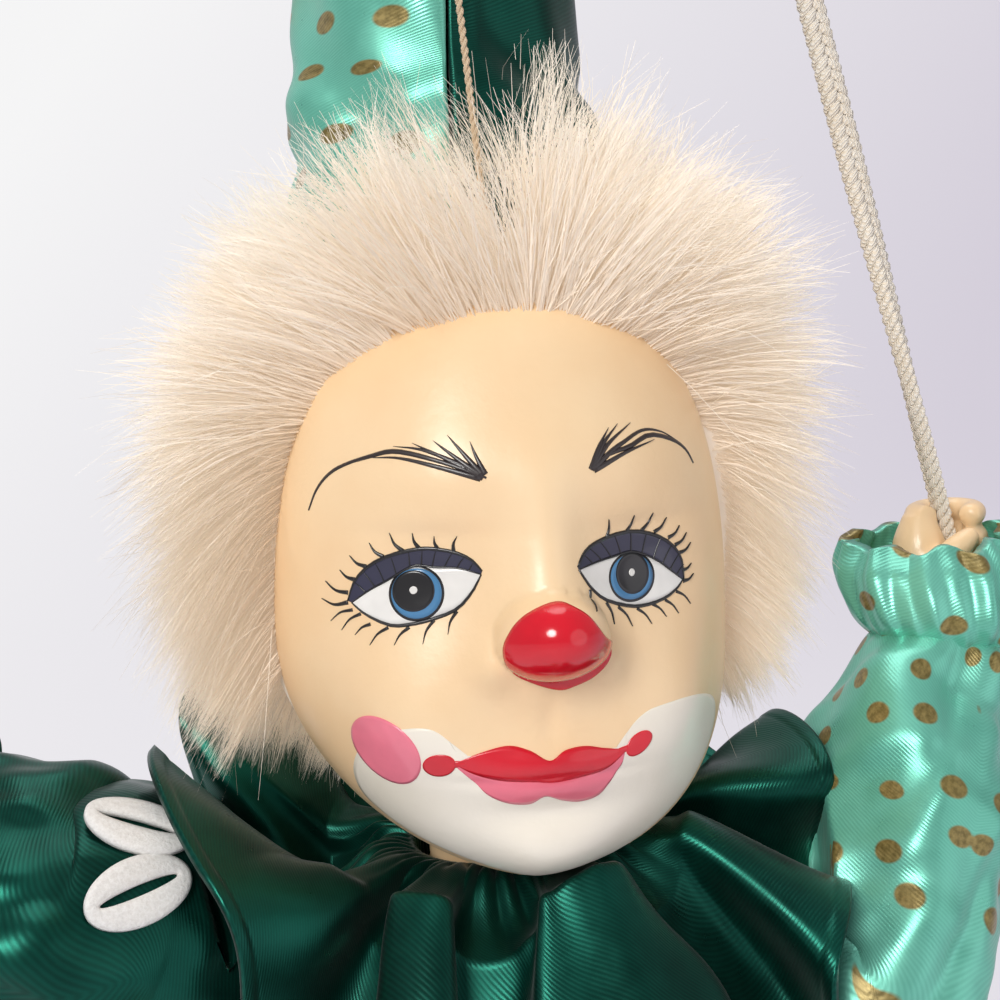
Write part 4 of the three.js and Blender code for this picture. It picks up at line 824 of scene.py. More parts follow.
# Mouth and white muzzle
MUZZLE = [(-11.9, -13.9), (-13.0, -12.1), (-15.0, -10.8), (-18.5, -11.1), (-23.7, -12.8), (-28.6, -16.6),
          (-31.8, -20.2), (-33.0, -23.6), (-30.0, -27.0), (-25.3, -29.0), (-16.1, -31.3), (-6.0, -32.8),
          (4.0, -33.4), (13.0, -32.8), (21.0, -29.6), (27.0, -25.2), (30.6, -19.8), (30.6, -15.6),
          (27.6, -12.6), (22.5, -10.8), (17.9, -10.1), (13.7, -10.4), (11.6, -11.2), (9.8, -13.0),
          (9.2, -14.7), (6.6, -14.9), (1.0, -15.4), (-4.0, -15.2), (-9.0, -14.6)]
patch("white_muzzle", MUZZLE, (-0.5, -24.5), WHITE_GLAZE, 0.06, 260, 40)
patch("cheek_disc", oval((-22.2, -14.5), 5.5, 4.6, 8), (-22.2, -14.5), CHEEK_PINK, 0.12)
UPPER_LIP = [(-12.5, -15.2), (-8.8, -13.9), (-5.6, -13.3), (-3.0, -14.0), (-0.6, -15.3), (1.5, -14.3),
             (4.0, -14.1), (6.6, -14.7), (9.2, -15.2)]
LIP_LINE = [(-12.5, -15.4), (-10.3, -16.7), (-6.8, -17.7), (-2.7, -18.1), (0.3, -18.4), (4.1, -18.0),
            (6.8, -17.4), (9.2, -15.6)]
LOWER_LIP = [(-12.3, -15.9), (-10.6, -17.9), (-9.0, -19.8), (-6.4, -21.0), (-3.3, -21.2), (-1.1, -20.1),
             (1.4, -21.1), (3.9, -21.7), (6.4, -21.2), (7.7, -19.5), (8.9, -17.5), (9.2, -15.9)]
band("lower_lip_paint", LIP_LINE, LOWER_LIP, LIP_PINK, 0.12)
band("upper_lip_paint", UPPER_LIP, LIP_LINE, LIP_RED, 0.16)
patch("mouth_dot_right", oval((-14.6, -15.6), 2.25, 1.4, 18), (-14.6, -15.6), LIP_RED, 0.17, 60, 8)
patch("mouth_dot_left", oval((11.2, -14.8), 1.95, 1.3, 36), (11.2, -14.8), LIP_RED, 0.17, 60, 8)
strokes("mouth_corners", [([(-13.6, -15.5), (-12.4, -15.4), (-11.2, -15.4)], 1.0, 1.1),
                          ([(8.4, -15.4), (9.5, -15.2), (10.5, -15.0)], 0.9, 1.0)], LIP_RED, 0.17)

# Eyes: each by its lid line, the white's two edges, the iris and the lashes
RIGHT_EYE = {
    "lid_top": [(-25.5, 4.2), (-24.6, 6.6), (-22.7, 8.6), (-19.9, 10.0), (-16.6, 10.8), (-14.2, 10.9),
                (-11.2, 10.4), (-9.2, 9.5), (-7.9, 8.2)],
    "white_top": [(-24.9, 4.0), (-22.4, 5.7), (-20.0, 7.0), (-16.8, 8.8), (-14.1, 8.6), (-11.0, 8.5),
                  (-8.0, 7.8)],
    "white_low": [(-24.9, 4.0), (-23.0, 2.7), (-19.7, 1.5), (-17.2, 1.6), (-14.2, 2.3), (-11.2, 3.5),
                  (-9.2, 5.6), (-8.0, 7.8)],
    "iris": (-16.3, 5.4), "size": (3.55, 3.4), "pupil": (-16.7, 5.7), "pupil_size": (2.7, 2.55),
    "upper": [((-25.5, 4.0), (-29.9, 4.1)), ((-25.5, 5.2), (-29.2, 6.4)), ((-24.5, 6.9), (-26.8, 8.0)),
              ((-22.9, 8.6), (-25.3, 9.9)), ((-20.6, 9.9), (-22.5, 11.6)), ((-18.0, 10.6), (-19.8, 12.9)),
              ((-16.0, 11.0), (-16.8, 12.9)), ((-13.5, 10.8), (-14.0, 12.5)),
              ((-11.5, 10.4), (-11.0, 12.5))],
    "lower": [((-24.8, 3.1), (-28.3, 1.4)), ((-23.6, 2.7), (-26.5, 0.4)), ((-22.2, 1.5), (-24.4, 0.0)),
              ((-19.8, 1.2), (-22.2, -1.1)), ((-17.1, 1.3), (-18.9, -0.9)), ((-14.0, 2.2), (-15.3, -0.7)),
              ((-11.1, 3.3), (-12.2, 0.5))],
}
LEFT_EYE = {
    "lid_top": [(3.3, 8.4), (4.2, 9.6), (5.7, 10.6), (8.9, 11.4), (12.8, 11.6), (16.5, 10.7), (19.4, 9.1),
                (20.9, 7.1), (21.0, 4.5)],
    "white_top": [(3.4, 8.1), (6.4, 8.5), (9.6, 8.8), (12.9, 9.0), (16.4, 7.6), (18.8, 5.9), (20.8, 4.4)],
    "white_low": [(3.4, 8.1), (5.0, 5.7), (7.3, 3.8), (11.2, 2.4), (14.1, 2.1), (17.2, 2.5), (19.5, 3.4),
                  (20.8, 4.4)],
    "iris": (12.2, 5.9), "size": (3.9, 3.15), "pupil": (12.4, 6.3), "pupil_size": (2.8, 2.6),
    "upper": [((8.3, 11.2), (8.6, 13.6)), ((11.6, 11.6), (12.7, 13.7)), ((14.2, 11.5), (15.9, 13.7)),
              ((16.3, 11.1), (18.5, 12.8)), ((18.7, 10.1), (20.8, 11.5)), ((19.9, 9.0), (22.1, 10.4)),
              ((20.6, 7.9), (22.9, 9.0)), ((20.9, 5.6), (22.8, 6.3)), ((20.9, 4.2), (23.1, 4.9))],
    "lower": [((4.8, 5.5), (4.0, 3.6)), ((7.3, 3.5), (8.1, 0.7)), ((9.3, 2.6), (11.2, -0.1)),
              ((12.5, 1.9), (14.4, -0.3)), ((15.1, 2.1), (17.0, 0.2)), ((17.3, 2.3), (19.2, 0.3)),
              ((19.4, 3.1), (21.8, 1.1))],
}


def bent(root, tip, bow):
    """A lash from root to tip, bowed to one side by a share of its length."""
    a, b = np.array(root), np.array(tip)
    normal = np.array([-(b - a)[1], (b - a)[0]])
    return [a, (a + b) / 2 + normal * bow, b]


def painted_eye(name, eye, outward):
    """White, lid, iris, pupil and spark as patches, then the lines, the lid's strokes and the lashes."""
    band(f"{name}_white", eye["white_top"], eye["white_low"], EYE_WHITE, 0.05)
    band(f"{name}_lid", eye["lid_top"], eye["white_top"], LID_PAINT, 0.07)
    centre, size = np.array(eye["iris"]), np.array(eye["size"])
    patch(f"{name}_iris_line", oval(centre, *size), centre, BLACK_PAINT, 0.09, 80, 8)
    patch(f"{name}_iris", oval(centre, *(size - 0.32)), centre, IRIS_BLUE, 0.11, 80, 8)
    pupil = np.array(eye["pupil"])
    patch(f"{name}_pupil", oval(pupil, *eye["pupil_size"]), pupil, BLACK_PAINT, 0.13, 80, 8)
    spark = pupil + [0.0, 0.1]
    patch(f"{name}_spark", oval(spark, 0.5, 0.48), spark, EYE_WHITE, 0.16, 40, 5)
    lines = [(eye["lid_top"], 0.25, 0.55), (eye["white_top"], 0.2, 0.32), (eye["white_low"], 0.2, 0.5)]
    top, low = np.array(eye["lid_top"]), np.array(eye["white_top"])
    upper, lower = through(top, 24), through(low, 24)
    for k in range(3, 22, 2):
        halfway = (lower[k] + upper[k]) / 2 + [0.1 * outward, 0.1]
        lines.append(([lower[k], halfway, upper[k] + [0.2 * outward, 0]], 0.2, 0.12))
    lines += [(bent(root, tip, -0.12 * outward), 0.55, 0.1) for root, tip in eye["upper"]]
    lines += [(bent(root, tip, 0.1 * outward), 0.42, 0.1) for root, tip in eye["lower"]]
    strokes(f"{name}_lines", lines, BLACK_PAINT, 0.17)


painted_eye("right_eye", RIGHT_EYE, -1)
painted_eye("left_eye", LEFT_EYE, 1)

RIGHT_BROW = [([(-33.3, 15.0), (-31.9, 17.8), (-29.4, 20.0), (-25.6, 21.5), (-21.0, 22.6)], 0.25, 0.5),
              ([(-27.0, 21.1), (-23.2, 22.1), (-19.1, 22.8), (-13.0, 21.6), (-7.2, 19.6)], 0.3, 0.6),
              ([(-7.6, 19.6), (-11.4, 21.6), (-15.6, 23.0), (-19.6, 23.4)], 0.7, 0.1),
              ([(-7.8, 19.8), (-11.0, 22.0), (-14.2, 24.1)], 0.8, 0.1),
              ([(-7.6, 19.9), (-10.0, 22.4), (-12.3, 24.7)], 0.8, 0.1),
              ([(-7.3, 20.0), (-8.4, 22.0), (-9.3, 23.9)], 0.7, 0.1),
              ([(-7.9, 19.5), (-13.0, 20.9), (-18.5, 22.0), (-23.0, 22.0)], 0.7, 0.1),
              ([(-9.5, 20.6), (-13.4, 22.4), (-17.0, 23.8)], 0.6, 0.1)]
LEFT_BROW = [([(6.1, 19.9), (8.8, 21.5), (12.5, 22.3), (16.5, 23.4), (21.0, 22.5), (23.9, 21.0),
               (25.3, 19.1)], 0.3, 0.6),
             ([(6.1, 19.9), (7.6, 22.4), (9.8, 24.7)], 0.8, 0.1),
             ([(6.2, 20.0), (8.4, 22.8), (11.4, 25.1)], 0.8, 0.1),
             ([(6.3, 20.0), (9.2, 22.8), (13.6, 25.1)], 0.8, 0.1),
             ([(6.4, 20.0), (10.4, 22.4), (15.6, 24.2)], 0.8, 0.1),
             ([(6.5, 19.8), (11.6, 21.6), (17.2, 22.8)], 0.7, 0.1),
             ([(10.0, 22.2), (15.0, 24.0), (18.8, 23.7), (22.2, 22.2)], 0.5, 0.1)]
strokes("right_brow", RIGHT_BROW, BROW_PAINT, 0.12)
strokes("left_brow", LEFT_BROW, BROW_PAINT, 0.12)


# Wig: a padded cap and long hairs combed away from the face and the hat

HAIRLINE = np.array([(-100.0, -22.0), (-62.0, -20.0), (-48.0, -16.0), (-44.5, 6.0), (-43.0, 22.0),
                     (-36.0, 31.0), (-22.5, 36.6), (-6.3, 39.0), (7.1, 38.8), (22.8, 35.2), (33.0, 30.0),
                     (39.0, 22.0), (41.0, 6.0), (45.0, -14.0), (62.0, -20.0), (100.0, -22.0)])
# How steeply the pile rises from level, in degrees, at heights up the head
PILE_HEIGHTS = [-24.0, -10.0, 4.0, 16.0, 26.0, 33.0, 40.0, 50.0]
PILE_RISES = [-62.0, -56.0, -44.0, -24.0, 6.0, 42.0, 68.0, 84.0]
PARTING_X = 6.0
HAT_X, HAT_REACH = -3.0, 20.0
# Share of the full length that the hair keeps at places round the head, from its right to its left
PILE_ROUND = [-100.0, -50.0, -20.0, 20.0, 40.0, 60.0, 100.0]
PILE_SHARES = [0.8, 0.84, 1.0, 1.0, 0.7, 0.68, 0.8]
# Share of the full length at heights up the head
TUFT_HEIGHTS = [-15.0, -5.0, 10.0, 30.0, 45.0]
TUFT_SHARES = [0.42, 0.58, 0.86, 1.0, 0.97]
SWIRL = 0.5  # how far the pile strays from its lie, in lobes a few millimetres wide


def brow_height(across):
    """Height of the hairline at a distance round the head."""
    return np.interp(across, HAIRLINE[:, 0], HAIRLINE[:, 1])


def above_hairline(across, z):
    """True where hair grows: above the line over the brow, and behind the line at the temples."""
    temple_right = np.interp(z, [-24, -16, 6, 22, 31], [-52, -46, -44, -42, -36])
    temple_left = np.interp(z, [-24, -14, 6, 22, 30], [50, 45, 42, 40, 33])
    behind = (across < temple_right) | (across > temple_left)
    lowest = np.interp(np.abs(across), [45, 72], [-8, -22])
    return np.where(z > 30, z > brow_height(across), behind) & (z > lowest)


def wig_roots(count):
    """Random places on the head above the hairline and outside the hat, spread evenly by area."""
    found = np.zeros((0, 2))
    while len(found) < count:
        across = RNG.uniform(-np.pi, np.pi, 80000) * HALF_WIDTH
        z = RNG.uniform(-24, CROWN - 0.4, 80000)
        width = head_section(across, z)[0]
        keep = RNG.uniform(0, HALF_WIDTH, 80000) < np.maximum(width, 8)
        scalp = on_head(across, z)
        under_hat = (np.hypot(scalp[:, 0] - HAT_X, scalp[:, 1] - 4) < HAT_REACH) & (z > 40)
        keep &= above_hairline(across, z) & ~under_hat
        found = np.concatenate([found, np.stack([across[keep], z[keep]], 1)])
    return found[:count]


def pile_way(roots, foot, out):
    """Which way the pile lies: forward and up over the brow, apart at the parting, down elsewhere."""
    rise = np.radians(np.interp(roots[:, 1], PILE_HEIGHTS, PILE_RISES))[:, None]
    level = unit(out * [1, 1, 0.0])
    apart = np.sign(foot[:, :1] - PARTING_X) * np.array([1.0, 0, 0])
    over_brow = np.clip((roots[:, 1:] - 28) / 14, 0, 1)
    stray = np.stack([ripple(foot, 8.0, seed) for seed in (41, 42, 43)], 1) * SWIRL
    fringe = np.clip(1 - np.abs(roots[:, 1:] - brow_height(roots[:, :1])) / 4, 0, 1)
    way = level * np.cos(rise) + [0, 0, 1] * np.sin(rise) + 0.26 * apart * over_brow
    return unit(way + stray + (0.5 + 0.4 * fringe) * out)


def nearest_tuft(foot, tufts):
    """Index of the tuft root nearest to each hair's foot."""
    tree = KDTree(len(tufts))
    for k, spot in enumerate(tufts):
        tree.insert(spot, k)
    tree.balance()
    return np.array([tree.find(spot)[1] for spot in foot])


def hair_lines(roots, points_each):
    """Hairs that leave the scalp along the pile, bend down by their weight and close up into tufts."""
    count = len(roots)
    foot = on_head(roots[:, 0], roots[:, 1], -0.6)
    out = unit(on_head(roots[:, 0], roots[:, 1], 1.0) - foot)
    way = pile_way(roots, foot, out)
    pick = RNG.choice(count, count // 55, replace=False)
    nearest = nearest_tuft(foot, foot[pick])
    tuft_way = unit(way[pick] + RNG.normal(0, 0.28, (len(pick), 3)))
    tuft_length = RNG.uniform(23, 32, len(pick)) * np.interp(roots[pick, 1], TUFT_HEIGHTS, TUFT_SHARES)
    tuft_length *= np.interp(roots[pick, 0], PILE_ROUND, PILE_SHARES)
    stray = RNG.uniform(0, 1, count) < 0.08
    hold = np.where(stray, 0, RNG.uniform(0.2, 0.65, count))[:, None, None]
    own_way = unit(way + RNG.normal(0, 1, (count, 3)) * np.where(stray, 0.28, 0.1)[:, None])
    length = tuft_length[nearest] * RNG.uniform(0.42, 1.1, count) * (1 + 0.14 * ripple(foot, 5.0, 47))
    t = np.linspace(0, 1, points_each)[None, :, None]
    weight = np.interp(roots[:, 1], [-20, 10, 35, 50], [0.5, 0.44, 0.16, 0.08])
    sag = weight[:, None, None] * np.array([0, 0, -1.0])
    alone = foot[:, None] + length[:, None, None] * (own_way[:, None] * t + sag * t**2)
    tip = foot[pick][nearest] + tuft_length[nearest][:, None] * (tuft_way[nearest] + sag[:, 0])
    line = alone + (tip[:, None] - alone) * hold * t**1.7
    curl = unit(np.cross(own_way, RNG.normal(size=(count, 3))))[:, None]
    bow = RNG.uniform(-1, 1, (count, 1, 1)) * length[:, None, None]
    bow = bow * np.where(stray, 0.22, 0.15)[:, None, None]
    return line + curl * bow * np.sin(np.pi * t) * t, own_way, out


def fur(name, lines, own_way, out, width):
    """Each hair a flat ribbon that tapers to its tip, with its own tone and painted shade that darkens it
    towards the root.
    """
    count, points_each = lines.shape[:2]
    t = np.linspace(0, 1, points_each)[None, :, None]
    across_way = unit(np.cross(own_way, out + RNG.normal(0, 0.16, (count, 3))))[:, None]
    half = RNG.uniform(0.35, 0.65, (count, 1, 1)) * width * (1 - 0.8 * t**1.5)
    points, quads = ribbons(lines, across_way, half)
    # A random tone for each hair, times painted shade that halves it at the root.
    tone = RNG.uniform(0.8, 1.0, (count, 1, 1)) * (0.5 + 0.5 * t**0.8)
    obj = make_mesh(name, points, [quads], tone=np.broadcast_to(tone, points.shape[:3]))
    return belongs(obj, FUR, "cream_fur", "head", "fur_wig")


CAP_INSET = 1.6  # from the hairline to the edge of the underfur


def wig_cap():
    """The head's skin above the hairline, moved out to the depth of the underfur, with tufty relief."""
    rows, columns = 150, 240
    t = np.linspace(0, 1, rows)[:, None]
    turn = np.linspace(-np.pi, np.pi, columns, endpoint=False)[None]
    across = turn * HALF_WIDTH
    low = brow_height(across) + CAP_INSET
    z = low + (CROWN - 0.5 - low) * t ** 0.8
    edge = np.minimum(1, t * 2.5)
    bare = on_head(across + 0 * z, z, 0)
    top = on_head(across + 0 * z, z, 0.1 + 4.6 * edge + 1.2 * ripple(bare, 5.5, 3) * edge)
    low_skin = on_head(across + 0 * z, z, -0.5)
    points, faces, _ = capped(np.concatenate([low_skin[::-1], top]))
    # The underfur takes a darker tone of the pile: painted shade for the depth of the fur.
    return facing_out(make_mesh("underfur", points, faces, tone=np.full(len(points), 0.6)))


belongs(wig_cap(), FUR, "cream_fur", "head", "fur_wig")
hair_count = 140000
hair_width = 0.18
PILE_PIECES = 8
lines, own_way, out = hair_lines(wig_roots(hair_count), 5)
for k in range(PILE_PIECES):
    pick = slice(k, None, PILE_PIECES)
    fur(f"long_pile_{k + 1}", lines[pick], own_way[pick], out[pick], hair_width)


# Hat: two satin panels over a soft cone

HAT_LINE = np.array([(0, 3, 42, 22.5), (0, 3.5, 50, 23.1), (0, 4, 62, 21.5), (0, 5, 71, 20.1),
                     (-0.5, 6, 84, 19.5), (-2, 9, 100, 17.2), (-6, 15, 116, 13.7), (-13, 23, 126, 10.5),
                     (-22, 31, 127, 7.8), (-31, 38, 120, 5.5), (-38, 43, 109, 3.0)])
# The hat sits towards the doll's right at the brim, and its tip hangs in the middle
HAT_LINE[:, 0] -= 5.5 * np.interp(np.arange(11), [0, 3, 9], [1, 0.9, 0])
# Creases of the hat's cloth: angle and share of the length where each lies, its slope, width and depth
HAT_CREASES = [(4.7, 0.085, 0.055, 0.016, 0.07), (5.6, 0.14, -0.02, 0.02, 0.12),
               (-0.68, 0.14, -0.02, 0.02, 0.12), (3.6, 0.2, 0.03, 0.03, 0.08),
               (2.4, 0.33, -0.03, 0.03, 0.08), (0.4, 0.3, 0.03, 0.03, 0.08)]
HAT_SEAM = np.pi / 2 + 0.10  # angle of each seam between the panels


def hat_panel(name, low, high):
    """Half the cone's skin between two angles, with soft creases, closed on the seam plane."""
    line = through(HAT_LINE, 150)
    path, radius = line[:, :3] + [0, 0, HEAD_Z], line[:, 3]
    _, u, v = frames_along(path, (1, 0, 0))
    turn = np.linspace(low, high, 110)[None]
    run = np.linspace(0, 1, 150)[:, None]
    crease = (0.035 * np.sin(5 * turn + 14 * run) + 0.03 * np.sin(2 * turn - 22 * run + 1)
              + 0.02 * np.sin(9 * turn + 31 * run)) * np.minimum(1, 6 * np.abs(np.cos(turn)) + 0.15)
    for angle, share, slope, width, depth in HAT_CREASES:
        near = np.exp(-(((turn - angle) / 1.1) ** 4))
        crease = crease - depth * near * np.exp(-(((run - share - slope * (turn - angle)) / width) ** 2))
    swell = radius[:, None] * (1 + crease)
    grid = about(path, u, v, swell * np.cos(turn), swell * np.sin(turn))
    inner = path[:, None] + 0.9 * (grid - path[:, None])
    loop = np.concatenate([grid, inner[:, ::-1]], 1)
    uv = np.zeros(loop.shape[:2] + (2,))
    uv[..., 0] = np.concatenate([20 * turn[0], 20 * turn[0][::-1]])[None]
    uv[..., 1] = (run * 150)
    points, faces, uv = capped(lean(loop), uv)
    obj = facing_out(make_mesh(name, points, faces, uv=uv))
    return obj


mint_panel = hat_panel("mint_hat_panel", HAT_SEAM + 0.01, 2 * np.pi - HAT_SEAM - 0.01)
belongs(mint_panel, MINT_SATIN, "mint_satin", "head", "hat_mint_panel")
green_panel = hat_panel("green_hat_panel", -HAT_SEAM + 0.01, HAT_SEAM - 0.01)
belongs(green_panel, GREEN_SATIN, "green_satin", "head", "hat_green_panel")


def pompon():
    """A fluffy ball of straight hairs about the hat's tip, over a solid middle."""
    tip, before = HAT_LINE[-1, :3], HAT_LINE[-2, :3]
    centre = tip + unit(tip - before) * 7.2 + [0, 0, HEAD_Z]
    count = 4500
    way = unit(RNG.normal(size=(count, 3)))
    t = np.linspace(0, 1, 4)[None, :, None]
    line = centre + way[:, None] * (4 + 6 * t * RNG.uniform(0.8, 1.05, (count, 1, 1)))
    side = unit(np.cross(way, RNG.normal(size=(count, 3))))[:, None]
    points, quads = ribbons(line, side, 0.14 * (1 - 0.8 * t))
    # The hairs darken towards the core: painted shade.
    tone = np.broadcast_to(0.5 + 0.5 * t, points.shape[:3])
    pile = make_mesh("pompon_pile", lean(points), [quads], tone=tone)
    belongs(pile, FUR, "cream_fur", "head", "hat_pompon")
    u = np.linspace(0, np.pi, 20)[1:-1, None]
    s = circle(28)[None]
    core = centre + 6.4 * np.stack([np.sin(u) * np.cos(s), np.sin(u) * np.sin(s), np.cos(u) + 0 * s], -1)
    points, faces, _ = capped(lean(core))
    # The core takes a darker tone of the pile: painted shade.
    middle = facing_out(make_mesh("pompon_core", points, faces, tone=np.full(len(points), 0.45)))
    belongs(middle, FUR, "cream_fur", "head", "hat_pompon")


pompon()


def crown_string():
    """Two thin plies twisted about the straight line from the crown to the gathering knot."""
    steps, twist, away, thickness = 900, 2.4, 0.22, 0.27
    foot = lean([-4, -23, HEAD_Z + 46])
    top = np.array([0, NECK_Y, TOP_KNOT_Z - TOP_KNOT_HEIGHT / 2 + 1])
    line = foot + (top - foot) * np.linspace(0, 1, steps)[:, None]
    _, u, v = frames_along(line, (1, 0, 0))
    parts = []
    for k in range(2):
        phase = 2 * np.pi * (np.linspace(0, np.linalg.norm(top - foot), steps) / twist + k / 2)
        ply = line + away * (u * np.cos(phase)[:, None] + v * np.sin(phase)[:, None])
        grid = tube_grid(ply, thickness, thickness, 6, (1, 0, 0))
        parts.append(capped(grid, tube_uv(grid)))
    points, faces, uv = joined(parts)
    twine = facing_out(make_mesh("crown_string", points, faces, uv=uv))
    belongs(twine, STRING, "cotton_rope", "head", "head_string")


crown_string()


# Collar: a gathered ruffle of satin on a neck band, in deep soft folds

COLLAR_INNER, COLLAR_OUTER = 12.8, 48.5
COLLAR_SHIFT = 1.5  # how far the rim lies towards the doll's left
COLLAR_TOP = HEAD_Z - CHIN - 1.3
COLLAR_FOOT = 111.5 + 0.3
COLLAR_DROOP, COLLAR_RISE, COLLAR_FRONT_FALL, COLLAR_WAVE = 6.0, 18.0, 34.0, 10.5
COLLAR_SINK = 16.0  # how much lower the rim lies on the doll's left
# Each fold's crest: its angle in degrees round the collar, its number and its height. The sixth is broad
FOLDS = np.array([(-35, 0, 1.0), (6, 1, 0.9), (46, 2, 0.9), (86, 3, 1.0), (122, 4, 0.9), (152, 5, 1.0),
                  (184, 5.93, 1.25), (204, 6.07, 1.2), (242, 7, 1.05), (284, 8, 1.25), (325, 9, 1.0),
                  (366, 10, 0.9)])
HEM_WIDTH = 0.05  # of the collar's width
CHIN_FLOOR = HEAD_Z - CHIN + 0.4  # the cloth stays below this under the chin


def pleats(turn):
    """Sixty small pleats round the neck, of uneven width."""
    return np.sin(60 * turn + 3 * np.sin(5 * turn))


def collar_surface(s, turn):
    """From the band's top at s = 0 to the rim: up at the sides and back, down in front, in round folds."""
    front = np.maximum(0, -np.sin(turn))
    rim = np.maximum(0, (s - 0.42) / 0.58) ** 0.9
    turn_up = COLLAR_RISE - (COLLAR_RISE + COLLAR_FRONT_FALL) * front**1.5
    sink = COLLAR_SINK * np.maximum(0, np.cos(turn + 0.2)) ** 4
    mean = COLLAR_TOP - COLLAR_DROOP * s + (turn_up - sink) * rim
    degrees = np.degrees(turn)
    phase = 2 * np.pi * np.interp(degrees, FOLDS[:, 0], FOLDS[:, 1])
    wander = 0.35 * np.sin(3 * turn + 1.0) + 0.25 * np.sin(7 * turn + 2.0)
    tall = np.interp(degrees, FOLDS[:, 0], FOLDS[:, 2])
    curve = 1.3 * np.sin(np.pi * s) * np.sin(3 * turn + 0.7) + 0.6 * np.sin(2 * np.pi * s) * np.sin(5 * turn)
    bent = phase + wander * s + curve
    fold = 2 * (0.51 + 0.49 * np.cos(bent)) ** 0.85 - 1
    wave = COLLAR_WAVE * s**0.8 * np.minimum(1, s / 0.16) * tall * fold
    lip = 5.2 * s**1.2 * np.sin(2 * bent)
    small = 21 * turn + 1.8 * np.sin(4 * turn + 0.8) + 4 * s
    crease = 1.7 * np.sin(small) * s**0.7 * (1.15 - s) * (0.6 + 0.4 * np.sin(5 * turn + 2))
    gather = 0.8 * pleats(turn) * np.exp(-((s / 0.3) ** 2)) * np.minimum(1, s / 0.06)
    stand = 2.2 * np.exp(-(((s - 0.14) / 0.09) ** 2))
    radius = COLLAR_INNER + (COLLAR_OUTER - COLLAR_INNER) * s + 1.2 * s * np.sin(bent + 1.9)
    angle = turn + (lip + 0.8 * s * np.cos(small)) / np.maximum(radius, 1)
    chin_room = CHIN_FLOOR + 30 * np.clip((radius - 26) / 8, 0, 1) ** 2
    height = mean + wave + crease + gather + stand
    height = (height + chin_room - np.hypot(height - chin_room, 2.0)) / 2
    return np.stack([radius * np.cos(angle) + COLLAR_SHIFT * s, NECK_Y + radius * np.sin(angle), height], -1)


def collar():
    """The ruffle's two skins, which meet at the rim and at the foot of its neck band."""
    rows, columns, band_rows = 104, 800, 14
    s = np.linspace(0, 1, rows)[:, None]
    turn = circle(columns)[None]
    ruffle = collar_surface(s + 0 * turn, turn + 0 * s)
    rise = np.linspace(0, 1, band_rows, endpoint=False)[:, None]
    reach = COLLAR_INNER + 0.25 * pleats(turn) * rise
    foot = np.stack([reach * np.cos(turn), NECK_Y + reach * np.sin(turn),
                     COLLAR_FOOT + (COLLAR_TOP - COLLAR_FOOT) * rise + 0 * turn], -1)
    sheet = np.concatenate([foot, ruffle])
    normal = normals_of(sheet)
    run = np.concatenate([np.zeros(band_rows), s[:, 0]])[:, None, None]
    hem = 0.22 * (run > 1 - HEM_WIDTH) - 0.12 * np.exp(-(((run - 1 + HEM_WIDTH) / 0.008) ** 2))
    top, low = sheet + normal * (0.3 + hem), sheet - normal * (0.3 + hem)
    loop = np.concatenate([top, low[::-1]])
    uv = np.zeros(loop.shape[:2] + (2,))
    uv[..., 0] = np.abs(np.linspace(-295, 295, columns))[None]
    step = np.concatenate([np.linspace(-5, 0, band_rows, endpoint=False), 42 * s[:, 0]])
    uv[..., 1] = np.concatenate([step, step[::-1]])[:, None]
    obj = make_mesh("gathered_collar", loop, [grid_faces(len(loop), columns, wrap_rows=True)], uv=uv)
    belongs(facing_out(obj), GREEN_SATIN, "green_satin", "swing", "collar")


collar()


# Garments: tubes of satin with folds, filled by the body and limbs inside

def under_collar(grid):
    """Points inside the collar's rim are lowered below its cloth."""
    across, deep = grid[..., 0] - COLLAR_SHIFT, grid[..., 1] - NECK_Y
    reach = np.hypot(across, deep)
    s = np.clip((reach - COLLAR_INNER) / (COLLAR_OUTER - COLLAR_INNER), 0, 1)
    turn = np.arctan2(deep, across) % (2 * np.pi)
    near = [collar_surface(s, turn + step)[..., 2] for step in (-0.12, -0.06, 0, 0.06, 0.12)]
    low = np.min(near, axis=0) - 1.8
    ceiling = low + 60 * np.clip((reach - COLLAR_OUTER + 2.5) / 3, 0, 1) ** 2
    grid[..., 2] = np.minimum(grid[..., 2], ceiling)
    return grid


def flat_under(grid, smooth, places):
    """Near each place the creased skin goes back to the smooth tube, a little inside it."""
    near = np.zeros(grid.shape[:2])
    for place in places:
        near = np.maximum(near, np.exp(-((np.linalg.norm(smooth - place, axis=-1) / 11) ** 4)))
    return grid + (smooth - grid) * near[..., None]


# Each felt oval by its middle on the sleeve, the way it faces and the way its slot runs
OVALS = {
    "upper": {"middle": (-49.8, -10.4, 132.0), "face": (0.33, -0.45, 0.83), "slot": (0.91, -0.08, -0.41)},
    "lower": {"middle": (-50.2, -17.2, 125.8), "face": (0.37, -0.78, 0.51), "slot": (0.89, 0.46, 0.06)},
}
OVAL_PLACES = [np.array(place["middle"]) for place in OVALS.values()]


def closed_tube(name, grid):
    """A closed mesh over a tube of rings, with places for the cloth's pattern."""
    points, faces, uv = capped(grid, tube_uv(grid))
    return facing_out(make_mesh(name, points, faces, uv=uv))


